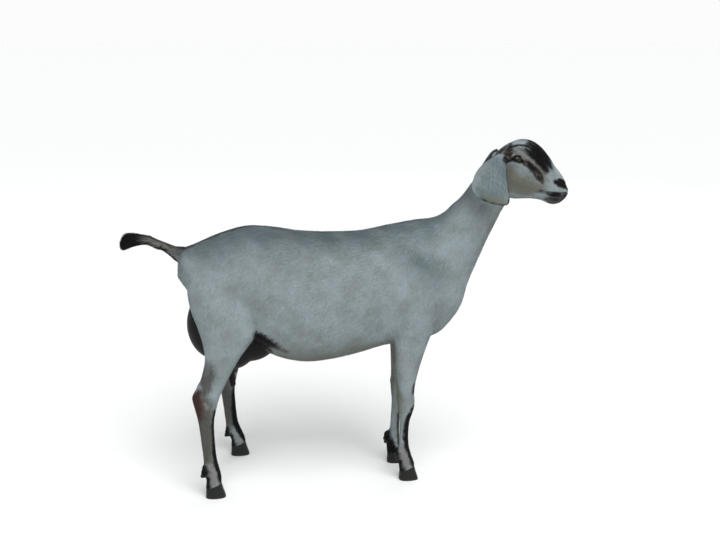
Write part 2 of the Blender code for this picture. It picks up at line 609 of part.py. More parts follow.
def body_shapes():
    shapes = [loft("trunk", trunk_rows(TRUNK), sides=40), loft("head", trunk_rows(HEAD)),
              loft("dock", tail_rows(), sides=20)]
    for label, side in (("right", -1), ("left", 1)):
        shapes.append(loft("fore", leg_rows(FORE_LEG, f"fore_{label}"), side=side))
        shapes.append(loft("hind", leg_rows(HIND_LEG, f"hind_{label}"), side=side))
        shapes += [ellipsoid("udder", *lobe, side=side) for lobe in UDDER.values()]
        shapes.append(teat(side))
    return shapes


def ear_surface(label, lift):
    """The grid of points of one face of an ear, lift metres outside its middle surface."""
    side = -1 if label == "right" else 1
    swing, spread = math.radians(EAR_HANG[label][0]), EAR_HANG[label][1]
    rows = catmull(list(EAR.values()), 2)
    grid = []
    for i, (z, front, rear, out, curl) in enumerate(rows):
        share = i / (len(rows) - 1)
        angle = math.radians(curl)
        radius = (front - rear) / 2 / math.sin(angle)
        away = rows[0][3] + (out - rows[0][3]) * spread
        line = []
        for s in np.linspace(-1, 1, 9):
            thick = EAR_THICKNESS[0] * (1 - share) + EAR_THICKNESS[1] * share
            level = EAR_THICKNESS[1] * 0.35 + (thick - EAR_THICKNESS[1] * 0.35) * (1 - abs(s) ** 3)
            reach = radius + (level / 2 if lift > 0 else -level / 2) + lift
            ahead = (front + rear) / 2 + reach * math.sin(s * angle) - EAR_ROOT[0]
            above = z - EAR_ROOT[1]
            x = EAR_ROOT[0] + ahead * math.cos(swing) - above * math.sin(swing)
            y = away + reach * math.cos(s * angle) - radius * math.cos(angle)
            line.append((x, side * y, EAR_ROOT[1] + ahead * math.sin(swing) + above * math.cos(swing)))
        grid.append(line)
    return np.array(grid)


def ear(name, label, grow=0.0):
    """The leaf of an ear as a closed cupped shell, with the bulb at its root."""
    outer, inner = ear_surface(label, grow + 1e-6), ear_surface(label, -grow - 1e-6)
    high, wide = outer.shape[:2]
    points = np.concatenate([outer.reshape(-1, 3), inner.reshape(-1, 3)])
    other = high * wide
    faces = []
    for i in range(high - 1):
        for j in range(wide - 1):
            a = i * wide + j
            quad = (a, a + 1, a + wide + 1, a + wide)
            faces.append(quad)
            faces.append(tuple(other + k for k in reversed(quad)))
    rim = [j for j in range(wide)] + [i * wide + wide - 1 for i in range(1, high)]
    rim += [(high - 1) * wide + j for j in range(wide - 2, -1, -1)]
    rim += [i * wide for i in range(high - 2, 0, -1)]
    for a, b in zip(rim, rim[1:] + rim[:1]):
        faces.append((a, b, other + b, other + a))
    leaf = face_out(new_object(name, points, faces))
    side = -1 if label == "right" else 1
    bulb = ellipsoid("bulb", *EAR_BULB, side=side, grow=grow, segments=12)
    return keep_largest(boolean(leaf, "UNION", [bulb]))


def eye_axes(side):
    """The gaze, the line towards the front corner and the upright of an eye."""
    turn = math.radians(EYE_FORWARD)
    rise = math.radians(EYE_UP)
    gaze = Vector((math.sin(turn) * math.cos(rise), side * math.cos(turn) * math.cos(rise), math.sin(rise)))
    tilt = math.radians(LID_TILT)
    front = Vector((math.cos(tilt), 0, -math.sin(tilt)))
    front = (front - gaze * front.dot(gaze)).normalized()
    upright = front.cross(gaze) * (-side)
    if upright.z < 0:
        upright.negate()
    return gaze, front, upright


def eye_opening(side):
    """The almond between the lids, widening from inside the eye to beyond the lids."""
    gaze, front, upright = eye_axes(side)
    centre = Vector((EYE_CENTRE[0], side * EYE_CENTRE[1], EYE_CENTRE[2]))
    rings = []
    for depth, scale in ((0.006, 0.6), (EYE_RADIUS, 1.0), (EYE_RADIUS * 1.6, 1.35)):
        ring = []
        for t in np.linspace(0, 2 * math.pi, 20, endpoint=False):
            height = LID_HALF_HEIGHTS[0] if math.sin(t) > 0 else LID_HALF_HEIGHTS[1]
            along = LID_HALF_LENGTH * math.cos(t)
            up = height * math.sin(t) * (1 - 0.25 * math.cos(t) ** 2)
            ring.append(np.array(centre + gaze * depth + (front * along + upright * up) * scale))
        rings.append(np.array(ring))
    return skin_rings("almond", rings)


def eyeball(name, side, grow=0.0):
    return ellipsoid(name, EYE_CENTRE, [EYE_RADIUS] * 3, side=side, grow=grow, segments=14)


def mouth_cutter():
    """The groove that parts the lips, from corner to corner: a wedge with its edge inwards."""
    half = catmull(MOUTH_LINE, 3)
    path = np.array([(x, -y, z) for x, y, z in half] + [tuple(p) for p in half[::-1][1:]])
    rings = []
    for i, point in enumerate(path):
        along = path[min(i + 1, len(path) - 1)] - path[max(i - 1, 0)]
        out = np.array([along[1], -along[0], 0.0]) / math.hypot(along[0], along[1])
        tall = np.array([0, 0, MOUTH_HEIGHT])
        outside = point + out * 0.010
        rings.append(np.array([point - out * MOUTH_DEPTH, outside - tall, outside + tall]))
    return skin_rings("mouth", rings)


def lid_rim(side):
    """The rounded edge of the lids, round the opening of an eye."""
    gaze, front, upright = eye_axes(side)
    centre = Vector((EYE_CENTRE[0], side * EYE_CENTRE[1], EYE_CENTRE[2]))
    turns = np.linspace(0, 2 * math.pi, 20, endpoint=False)
    rings = []
    for t in turns:
        height = LID_HALF_HEIGHTS[0] if math.sin(t) > 0 else LID_HALF_HEIGHTS[1]
        flat = front * (LID_HALF_LENGTH * math.cos(t))
        flat += upright * (height * math.sin(t) * (1 - 0.25 * math.cos(t) ** 2))
        flat *= 1 + LID_RIM / flat.length
        deep = math.sqrt(max((EYE_RADIUS + LID_RIM) ** 2 - flat.length**2, 0))
        spot = centre + flat + gaze * deep
        outward = flat.normalized()
        rings.append([np.array(spot + LID_RIM * (outward * math.cos(a) + gaze * math.sin(a)))
                      for a in np.linspace(0, 2 * math.pi, 6, endpoint=False)])
    return ring_band("lid", rings)


def make_head():
    head = fused("head", head_shapes(), HEAD_VOXEL, HEAD_TRIANGLES)
    point, pitch = HEAD_CUT
    boolean(head, "INTERSECT", [box("front", (0, -1, -1), (1, 1, 1), (0, pitch), point)])
    keep_largest(head)
    boolean(head, "DIFFERENCE", [mouth_cutter()])
    for side in (-1, 1):
        hollow = ellipsoid("nostril", *NOSTRIL, side=side, turn=NOSTRIL_TURN, segments=12)
        boolean(head, "DIFFERENCE", [hollow])
        boolean(head, "UNION", [lid_rim(side)])
        boolean(head, "DIFFERENCE", [eyeball("socket", side, GAP)])
        boolean(head, "DIFFERENCE", [eye_opening(side)])
    for label in ("right", "left"):
        boolean(head, "DIFFERENCE", [ear("ear hollow", label, GAP)])
    return finish(keep_largest(head), COAT)


def claw(name, foot, side, half, shift):
    """One claw of a foot: flat sole, straight cleft wall, round outer wall, slanting coronet."""
    heel = HEEL_X[foot] + shift
    levels = 5
    outline = 11
    rings = []
    for level in range(levels):
        t = level / (levels - 1)
        ring = []
        length = CLAW_LENGTH - (TOE_SLOPE + HEEL_SLOPE) * t
        width = CLAW_HALF_WIDTH * (1 - 0.14 * t)
        start = heel + HEEL_SLOPE * t
        for k in range(outline):
            turn = math.pi * k / (outline - 1)
            along = 0.5 - 0.5 * math.cos(turn)
            bulge = math.sin(turn) ** 0.62 * (1 - 0.22 * along)
            x = start + along * length
            out = CLEFT / 2 + (width - CLEFT / 2) * bulge
            top = CLAW_HEEL_HEIGHT + (CLAW_TOE_HEIGHT - CLAW_HEEL_HEIGHT) * along
            ring.append((x, side * FOOT_OUT[foot] + half * out, t * top))
        ring += [(start + length * s, side * FOOT_OUT[foot] + half * CLEFT / 2,
                  t * (CLAW_HEEL_HEIGHT + (CLAW_TOE_HEIGHT - CLAW_HEEL_HEIGHT) * s)) for s in (0.66, 0.33)]
        rings.append(np.array(ring))
    return finish(skin_rings(name, rings), HORN)


def dewclaw(name, foot, side, half, shift, grow=0.0):
    x, out, z = DEWCLAW_PLACE[foot]
    centre = (x + shift, FOOT_OUT[foot] + side * half * out, z)
    return ellipsoid(name, centre, DEWCLAW_SIZE, 50, side=side, grow=grow, segments=10)


def coronet_box(foot, side, shift):
    """The space of a foot's claws, with its slanting top, that the flesh leaves free."""
    length = CLAW_LENGTH - TOE_SLOPE - HEEL_SLOPE
    rise = (CLAW_TOE_HEIGHT - CLAW_HEEL_HEIGHT) / length
    x = HEEL_X[foot] + HEEL_SLOPE + shift
    y = side * FOOT_OUT[foot]
    reach = 0.03
    corners = []
    for dx in (-reach, length + reach):
        top = CLAW_HEEL_HEIGHT + rise * dx + GAP * 1.1
        for dy in (-0.05, 0.05):
            for z in (-0.1, top):
                corners.append((x + dx, y + dy, z))
    faces = [(0, 1, 3, 2), (4, 6, 7, 5), (0, 4, 5, 1), (2, 3, 7, 6), (0, 2, 6, 4), (1, 5, 7, 3)]
    return face_out(new_object("coronet", corners, faces))


def leg_box(foot, side):
    """The corners, turn and place of the box that parts a leg off the body below its joint."""
    if foot == "fore":
        (rear, front), top = FORE_LEG_ENDS, FORE_LEG_TOP
        inside, outside = side * FORE_LEG_INSIDE, side * SIDE_REACH
        return (rear, min(inside, outside), -0.1), (front, max(inside, outside), top), (0, 0), (0, 0, 0)
    x, out, z = HIND_LEG_PIVOT
    roll, pitch = HIND_LEG_TURN
    low, high = (-0.3, min(0, side * 0.25), -0.35), (HIND_LEG_FRONT, max(0, side * 0.25), HIND_LEG_TOP)
    return low, high, (side * roll, pitch), (x, side * out, z)


def make_legs(body):
    """Parts the legs off the body and gives each its claws and dewclaws."""
    for foot, joint_z in (("fore", KNEE_Z), ("hind", HOCK_Z)):
        for label, side in (("right", -1), ("left", 1)):
            leg = f"{foot}_{label}"
            shift = stride_shift(leg, 0.0)
            boolean(body, "DIFFERENCE", [coronet_box(foot, side, shift)])
            keep_largest(body)
            rear, front = LOWER_LEG_ENDS[foot]
            inside, outside = side * LOWER_LEG_INSIDE, side * SIDE_REACH
            low = (rear, min(inside, outside), 0)
            high = (front, max(inside, outside), joint_z)
            lower = take(body, f"{leg}_lower_leg", low, high)
            finish(take(body, f"{leg}_upper_leg", *leg_box(foot, side)), COAT)
            for word, half in (("inner", -side), ("outer", side)):
                claw(f"{leg}_{word}_claw", foot, side, half, shift)
                reach = stride_shift(leg, DEWCLAW_PLACE[foot][2])
                boolean(lower, "DIFFERENCE", [dewclaw("hollow", foot, side, half, reach, GAP)])
                finish(dewclaw(f"{leg}_{word}_dewclaw", foot, side, half, reach), HORN)
            finish(keep_largest(lower), COAT)


def make_body():
    body = fused("torso", body_shapes(), BODY_VOXEL, BODY_TRIANGLES, trunk_share)
    point, pitch = HEAD_CUT
    boolean(body, "DIFFERENCE", [box("front", (-GAP, -1, -1), (1, 1, 1), (0, pitch), point)])
    keep_largest(body)
    for label in ("right", "left"):
        boolean(body, "DIFFERENCE", [ear("ear hollow", label, GAP)])
    point, pitch = NECK_CUT
    finish(take(body, "neck", (0, -0.3, -0.4), (0.6, 0.3, 0.5), (0, pitch), point), COAT)
    tail = take(body, "tail", (TAIL_CUT_X - 0.4, -0.05, 0.635), (TAIL_CUT_X, 0.05, 0.9))
    finish(keep_largest(boolean(tail, "UNION", tail_locks())), DARK_COAT)
    make_legs(body)
    point, pitch = UDDER_CUT
    udder = take(body, "udder_right", (-0.5, -0.12, -0.3), (0.02, 0.12, 0), (0, pitch), point)
    left = take(udder, "udder_left", (-1, 0.0, -1), (1, 1, 1))
    finish(udder, UDDER_SKIN)
    finish(left, UDDER_SKIN)
    finish(body, COAT)


def stand_on_origin():
    """Moves everything so that the origin is on the floor under the middle of the animal."""
    nodes = [o for o in bpy.context.scene.objects if o.type == "MESH"]
    low = [min(v.co[i] for o in nodes for v in o.data.vertices) for i in (0, 1)]
    high = [max(v.co[i] for o in nodes for v in o.data.vertices) for i in (0, 1)]
    for obj in nodes:
        obj.data.transform(Matrix.Translation((-(low[0] + high[0]) / 2, -(low[1] + high[1]) / 2, 0)))


def main():
    remove(list(bpy.data.objects))
    make_head()
    make_body()
    for label, side in (("right", -1), ("left", 1)):
        finish(ear(f"ear_{label}", label), COAT)
        finish(eyeball(f"eye_{label}", side), EYE)
    stand_on_origin()


main()
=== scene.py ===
import math
import time

import bmesh
import bpy
import numpy as np
from mathutils import Matrix, Vector
from mathutils.bvhtree import BVHTree


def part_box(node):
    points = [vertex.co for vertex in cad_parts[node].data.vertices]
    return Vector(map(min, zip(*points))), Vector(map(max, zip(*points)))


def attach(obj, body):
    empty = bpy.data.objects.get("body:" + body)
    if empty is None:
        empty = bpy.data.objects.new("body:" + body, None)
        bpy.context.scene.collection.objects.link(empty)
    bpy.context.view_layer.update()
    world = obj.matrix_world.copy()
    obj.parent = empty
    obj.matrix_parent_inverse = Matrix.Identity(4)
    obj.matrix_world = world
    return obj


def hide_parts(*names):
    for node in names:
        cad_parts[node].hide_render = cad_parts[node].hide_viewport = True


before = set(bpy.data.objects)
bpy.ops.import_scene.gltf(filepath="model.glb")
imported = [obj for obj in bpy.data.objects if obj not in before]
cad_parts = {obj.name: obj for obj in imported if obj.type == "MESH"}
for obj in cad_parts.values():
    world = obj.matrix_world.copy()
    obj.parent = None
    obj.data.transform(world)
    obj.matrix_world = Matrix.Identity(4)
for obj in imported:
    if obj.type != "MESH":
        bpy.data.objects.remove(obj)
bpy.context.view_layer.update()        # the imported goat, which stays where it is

# A grown Nubian doe as a life-size museum model: one skin under a short coat, tail hair, eyes and hooves.
# Metres unless a table says mm, +Z up. Every place below is in the maker's own frame, with the midline at
# y = 0 and the heels of the right fore foot at heelX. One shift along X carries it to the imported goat's.

started = time.time()


def report(stage):
    print(f"{time.time() - started:6.1f} s  {stage}")


sideSign = {"right": -1, "left": 1}
heelX = {"fore": 0.1125, "hind": -0.4540}
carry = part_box("fore_right_outer_claw")[0].x - heelX["fore"]


def linked(name, data):
    made = bpy.data.objects.new(name, data)
    bpy.context.scene.collection.objects.link(made)
    return made


# The way that lies turn degrees round from square to one side, and rise degrees above the level
def heading(turn, rise, side=-1):
    turn, rise = math.radians(turn), math.radians(rise)
    level = math.cos(rise)
    return Vector((math.sin(turn) * level, side * math.cos(turn) * level, math.sin(rise)))


# Camera

view = {
    "target": (0.0, 0.0, 0.629),
    "distance": 3.047,
    "azimuth": -3.6,     # degrees round from square to her right side
    "elevation": 14.0,
    "lens": 52.5,        # mm
    "sensor": 36.0,      # mm wide
}


def makeCamera():
    data = bpy.data.cameras.new("camera")
    data.lens = view["lens"]
    data.sensor_width = view["sensor"]
    camera = linked("camera", data)
    away = heading(view["azimuth"], view["elevation"])
    camera.location = Vector(view["target"]) + Vector((carry, 0, 0)) + away * view["distance"]
    camera.rotation_euler = away.to_track_quat("Z", "Y").to_euler()
    bpy.context.scene.camera = camera


makeCamera()
report("camera")


# Mesh tools

def meshOf(name, work):
    mesh = bpy.data.meshes.new(name)
    work.to_mesh(mesh)
    work.free()
    return mesh


def newObject(name, points, faces):
    mesh = bpy.data.meshes.new(name)
    mesh.from_pydata([tuple(p) for p in points], [], [tuple(f) for f in faces])
    work = bmesh.new()
    work.from_mesh(mesh)
    bmesh.ops.recalc_face_normals(work, faces=work.faces)
    work.to_mesh(mesh)
    work.free()
    return linked(name, mesh)


# A large mesh of triangles straight from arrays
def triangleObject(name, points, triangles):
    mesh = bpy.data.meshes.new(name)
    mesh.vertices.add(len(points))
    mesh.vertices.foreach_set("co", points.astype(np.float32).ravel())
    mesh.loops.add(3 * len(triangles))
    mesh.loops.foreach_set("vertex_index", triangles.astype(np.int32).ravel())
    mesh.polygons.add(len(triangles))
    mesh.polygons.foreach_set("loop_start", np.arange(0, 3 * len(triangles), 3, dtype=np.int32))
    mesh.update(calc_edges=True)
    return linked(name, mesh)


def read(source, field, width, kind=np.float32):
    values = np.empty(len(source) * width, kind)
    source.foreach_get(field, values)
    return values.reshape(-1, width) if width > 1 else values


def pointsOf(mesh):
    return read(mesh.vertices, "co", 3).astype(float)


def normalsOf(mesh):
    return read(mesh.vertex_normals, "vector", 3).astype(float)


def setPoints(mesh, points):
    mesh.vertices.foreach_set("co", points.astype(np.float32).ravel())
    mesh.update()


def unit(rows):
    return rows / np.maximum(np.linalg.norm(rows, axis=-1, keepdims=True), 1e-9)


def smoothStep(values, low, high):
    t = np.clip((values - low) / (high - low), 0, 1)
    return t * t * (3 - 2 * t)


# Rows of numbers, smoothed through every given row
def smoothRows(rows, steps):
    rows = np.array(rows, float)
    ends = np.vstack([2 * rows[0] - rows[1], rows, 2 * rows[-1] - rows[-2]])
    out = []
    for i in range(len(rows) - 1):
        a, b, c, d = ends[i : i + 4]
        for t in np.arange(steps) / steps:
            out.append(0.5 * (2 * b + (c - a) * t + (2 * a - 5 * b + 4 * c - d) * t**2
                              + (3 * b - a - 3 * c + d) * t**3))
    return np.array(out + [rows[-1]])


# A soft, irregular wave through space, about -1 to 1, whose bumps are size metres apart. It sums seven
# plain waves, which seldom reach 3.2 together.
def ripple(points, size, seed):
    draw = np.random.default_rng(seed)
    total = np.zeros(len(points))
    for _ in range(7):
        way = unit(draw.normal(size=(1, 3)))[0] * 2 * math.pi / (size * draw.uniform(0.7, 1.5))
        total += np.sin(points @ way + draw.uniform(0, 2 * math.pi))
    return total / 3.2


# The faces of a tube over so many rings, each joined to the next
def ringFaces(rings, size, joins):
    faces = []
    for i in range(joins):
        for j in range(size):
            k, n = (j + 1) % size, (i + 1) % rings
            faces.append((i * size + j, i * size + k, n * size + k, n * size + j))
    return faces


# A closed tube over rings of equal point counts, with a point at each end
def skinRings(name, rings):
    size = len(rings[0])
    points = [p for ring in rings for p in ring]
    faces = ringFaces(len(rings), size, len(rings) - 1)
    points += [np.mean(rings[0], axis=0), np.mean(rings[-1], axis=0)]
    last = (len(rings) - 1) * size
    for j in range(size):
        k = (j + 1) % size
        faces.append((len(points) - 2, k, j))
        faces.append((len(points) - 1, last + j, last + k))
    return newObject(name, points, faces)


# A closed band over rings that come back to the first
def bandRings(name, rings):
    points = [p for ring in rings for p in ring]
    return newObject(name, points, ringFaces(len(rings), len(rings[0]), len(rings)))


# Lofts rows of ax, az, bx, bz, out, half width, share, round a, round b. Each ring stands across the
# midline plane, from its edge a to its edge b.
def loft(name, rows, sides=40, steps=5, side=1):
    rings = []
    turn = np.linspace(0, 2 * math.pi, sides, endpoint=False)
    for ax, az, bx, bz, out, half, share, roundA, roundB in smoothRows(rows, steps):
        a, b = np.array([ax, az]), np.array([bx, bz])
        middle = a + share * (b - a)
        ring = []
        for c, s in zip(np.cos(turn), np.sin(turn)):
            power = 2 / (roundA if s > 0 else roundB)
            reach = (a - middle) if s > 0 else (b - middle)
            x, z = middle + reach * abs(s) ** power
            ring.append((x, side * (out + half * math.copysign(abs(c) ** power, c)), z))
        rings.append(np.array(ring))
    return skinRings(name, rings)


# An ellipsoid whose long axis dips forward by pitch degrees, turned about the upright by turn
def ellipsoid(name, centre, radii, pitch=0, side=1, grow=0.0, turn=0, segments=36):
    work = bmesh.new()
    bmesh.ops.create_uvsphere(work, u_segments=segments, v_segments=segments // 2, radius=1.0)
    x, y, z = centre
    place = Matrix.Translation((x, side * y, z)) @ Matrix.Rotation(math.radians(side * turn), 4, "Z")
    place = place @ Matrix.Rotation(math.radians(pitch), 4, "Y")
    place = place @ Matrix.Diagonal([r + grow for r in radii] + [1.0])
    bmesh.ops.transform(work, matrix=place, verts=work.verts)
    return linked(name, meshOf(name, work))


# A round tube through the points of path, with a radius at each
def tube(name, path, radii, sides=24):
    path = np.array(path, float)
    rings = []
    for i, centre in enumerate(path):
        along = Vector(path[min(i + 1, len(path) - 1)] - path[max(i - 1, 0)]).normalized()
        across = along.orthogonal() if i == 0 else (across - along * across.dot(along))
        across.normalize()
        up = along.cross(across)
        ring = []
        for t in np.linspace(0, 2 * math.pi, sides, endpoint=False):
            away = math.cos(t) * np.array(across) + math.sin(t) * np.array(up)
            ring.append(centre + radii[i] * away)
        rings.append(np.array(ring))
    return skinRings(name, rings)


def solidBox(name, corners):
    faces = [(0, 1, 3, 2), (4, 6, 7, 5), (0, 4, 5, 1), (2, 3, 7, 6), (0, 2, 6, 4), (1, 5, 7, 3)]
    return newObject(name, corners, faces)


# Applies every modifier of a piece to its mesh
def baked(piece):
    graph = bpy.context.evaluated_depsgraph_get()
    mesh = bpy.data.meshes.new_from_object(piece.evaluated_get(graph))
    old = piece.data
    piece.modifiers.clear()
    piece.data = mesh
    bpy.data.meshes.remove(old)
    return piece


def joined(name, pieces):
    work = bmesh.new()
    for piece in pieces:
        work.from_mesh(piece.data)
        bpy.data.objects.remove(piece)
    return linked(name, meshOf(name, work))


# Cuts or joins others with a closed piece, one by one, and removes them
def combine(piece, operation, others):
    for other in others:
        step = piece.modifiers.new(operation.lower(), "BOOLEAN")
        step.operation = operation
        step.solver = "MANIFOLD"
        step.object = other
        baked(piece)
        bpy.data.objects.remove(other)
    return piece


# Evens out creases. Each round moves a point half way to its neighbours' middle and then back by
# slightly more, so that thin parts keep their girth.
def relaxed(points, edges, rounds, weights=None):
    a = np.concatenate([edges[:, 0], edges[:, 1]])
    b = np.concatenate([edges[:, 1], edges[:, 0]])
    degree = np.maximum(np.bincount(a, minlength=len(points)), 1).astype(float)[:, None]
    for step in np.tile((0.5, -0.52), rounds):
        total = np.stack([np.bincount(a, points[b, i], len(points)) for i in range(3)], axis=1)
        move = step * (total / degree - points)
        points = points + (move if weights is None else move * weights[:, None])
    return points


# Overlapping closed shapes made one closed skin
def fused(name, pieces, voxel):
    piece = joined(name, pieces)
    remesh = piece.modifiers.new("fuse", "REMESH")
    remesh.mode = "VOXEL"
    remesh.voxel_size = voxel
    return baked(piece)


def thinned(piece, triangles):
    thin = piece.modifiers.new("thin", "DECIMATE")
    thin.ratio = min(1.0, triangles / (2 * len(piece.data.polygons)))
    return baked(piece)


# Keeps the largest closed surface and drops loose scraps
def keepLargest(piece):
    mesh = piece.data
    edges = read(mesh.edges, "vertices", 2, np.int32)
    label = np.arange(len(mesh.vertices))
    while True:
        low = np.minimum(label[edges[:, 0]], label[edges[:, 1]])
        after = label.copy()
        np.minimum.at(after, edges[:, 0], low)
        np.minimum.at(after, edges[:, 1], low)
        after = after[after]
        if (after == label).all():
            break
        label = after
    largest = np.bincount(label).argmax()
    work = bmesh.new()
    work.from_mesh(mesh)
    loose = [v for v, mark in zip(work.verts, label) if mark != largest]
    bmesh.ops.delete(work, geom=loose, context="VERTS")
    bmesh.ops.triangulate(work, faces=work.faces)
    work.to_mesh(mesh)
    work.free()
    return piece


# The body's forms

# Rings from rump to nape: top (x, z), bottom (x, z), half width, how far down it is widest, and its
# roundness above and below that
trunk = {
    "rump end": ((-0.516, 0.688), (-0.525, 0.617), 0.040, 0.45, 2.2, 2.2),
    "seat": ((-0.502, 0.700), (-0.488, 0.566), 0.066, 0.45, 2.2, 2.6),
    "pins": ((-0.470, 0.714), (-0.468, 0.510), 0.089, 0.50, 2.2, 2.6),
    "thurls": ((-0.410, 0.740), (-0.405, 0.465), 0.112, 0.50, 2.2, 2.6),
    "hips": ((-0.328, 0.763), (-0.325, 0.430), 0.123, 0.52, 2.2, 2.4),
    "flank": ((-0.250, 0.760), (-0.250, 0.384), 0.150, 0.60, 2.0, 2.2),
    "last rib": ((-0.170, 0.747), (-0.167, 0.367), 0.174, 0.60, 2.0, 2.2),
    "barrel": ((-0.085, 0.743), (-0.090, 0.373), 0.178, 0.58, 2.0, 2.2),
    "girth": ((0.000, 0.746), (-0.010, 0.388), 0.161, 0.57, 1.95, 2.2),
    "heart": ((0.080, 0.762), (0.075, 0.407), 0.137, 0.56, 1.9, 2.0),
    "withers": ((0.155, 0.776), (0.155, 0.414), 0.120, 0.55, 1.8, 1.8),
    "shoulder": ((0.198, 0.780), (0.233, 0.441), 0.106, 0.53, 1.8, 1.7),
    "breast": ((0.222, 0.786), (0.291, 0.508), 0.090, 0.52, 1.85, 1.8),
    "neck root": ((0.244, 0.798), (0.314, 0.585), 0.074, 0.50, 1.9, 2.0),
    "neck low": ((0.266, 0.819), (0.341, 0.650), 0.060, 0.50, 2.0, 2.0),
    "neck mid": ((0.294, 0.845), (0.369, 0.716), 0.050, 0.50, 2.0, 2.0),
    "neck high": ((0.322, 0.883), (0.396, 0.775), 0.044, 0.50, 2.0, 2.0),
    "throat": ((0.350, 0.922), (0.420, 0.822), 0.042, 0.50, 2.1, 2.0),
    "nape": ((0.378, 0.957), (0.440, 0.868), 0.040, 0.50, 2.1, 2.0),
}

# Rings from behind the poll to the lips, in the same terms
skull = {
    "occiput": ((0.392, 0.970), (0.392, 0.915), 0.034, 0.50, 2.1, 2.0),
    "poll": ((0.416, 0.988), (0.398, 0.890), 0.043, 0.42, 2.2, 2.0),
    "crown": ((0.452, 1.004), (0.407, 0.864), 0.048, 0.36, 2.3, 2.0),
    "brow": ((0.487, 1.002), (0.420, 0.842), 0.049, 0.33, 2.5, 1.9),
    "forehead": ((0.516, 0.983), (0.441, 0.834), 0.045, 0.33, 2.5, 1.8),
    "face": ((0.540, 0.954), (0.466, 0.834), 0.040, 0.34, 2.3, 1.8),
    "bridge": ((0.558, 0.928), (0.493, 0.834), 0.034, 0.38, 2.2, 1.9),
    "nose": ((0.575, 0.908), (0.518, 0.830), 0.030, 0.44, 2.2, 1.9),
    "nostril": ((0.588, 0.889), (0.540, 0.823), 0.0285, 0.46, 2.2, 1.9),
    "lips": ((0.5965, 0.869), (0.561, 0.820), 0.0250, 0.46, 2.2, 1.9),
    "mouth": ((0.6005, 0.861), (0.577, 0.822), 0.0195, 0.46, 2.1, 1.9),
    "front": ((0.6015, 0.853), (0.589, 0.830), 0.0110, 0.48, 2.0, 2.0),
}

# A limb's ring joins its front edge to its rear edge: front (x, z), rear (x, z), distance of its middle
# from the midline, half width, where it is widest counted from the front, roundness of front and rear
foreLeg = {
    "blade": ((0.212, 0.600), (0.105, 0.620), 0.070, 0.038, 0.50, 2.0, 2.0),
    "upper arm": ((0.218, 0.535), (0.085, 0.560), 0.084, 0.043, 0.48, 2.0, 1.9),
    "elbow": ((0.205, 0.474), (0.083, 0.498), 0.089, 0.041, 0.46, 2.0, 1.8),
    "forearm top": ((0.191, 0.436), (0.091, 0.452), 0.088, 0.036, 0.45, 2.0, 1.9),
    "forearm": ((0.179, 0.396), (0.094, 0.406), 0.084, 0.031, 0.45, 2.0, 2.0),
    "forearm mid": ((0.168, 0.355), (0.097, 0.361), 0.080, 0.0265, 0.47, 2.0, 2.0),
    "forearm low": ((0.157, 0.305), (0.101, 0.309), 0.076, 0.0225, 0.50, 2.0, 2.0),
    "knee top": ((0.154, 0.272), (0.103, 0.272), 0.074, 0.0225, 0.45, 2.3, 2.1),
    "knee": ((0.156, 0.243), (0.104, 0.240), 0.072, 0.0245, 0.45, 2.4, 2.1),
    "knee low": ((0.150, 0.212), (0.109, 0.210), 0.070, 0.0195, 0.50, 2.3, 2.1),
    "cannon top": ((0.142, 0.184), (0.112, 0.184), 0.069, 0.0155, 0.50, 2.0, 2.0),
    "cannon": ((0.1395, 0.148), (0.1125, 0.148), 0.067, 0.0135, 0.50, 2.0, 2.0),
    "cannon low": ((0.1405, 0.112), (0.111, 0.110), 0.066, 0.0145, 0.50, 2.0, 2.0),
    "fetlock": ((0.1455, 0.088), (0.107, 0.080), 0.065, 0.0195, 0.50, 2.1, 2.1),
    "pastern": ((0.153, 0.065), (0.111, 0.053), 0.0645, 0.0175, 0.50, 2.1, 2.1),
    "coronet": ((0.1585, 0.047), (0.1130, 0.029), 0.064, 0.0200, 0.50, 2.3, 2.3),
    "hoof core": ((0.1590, 0.022), (0.1145, 0.012), 0.064, 0.0190, 0.50, 2.3, 2.3),
}
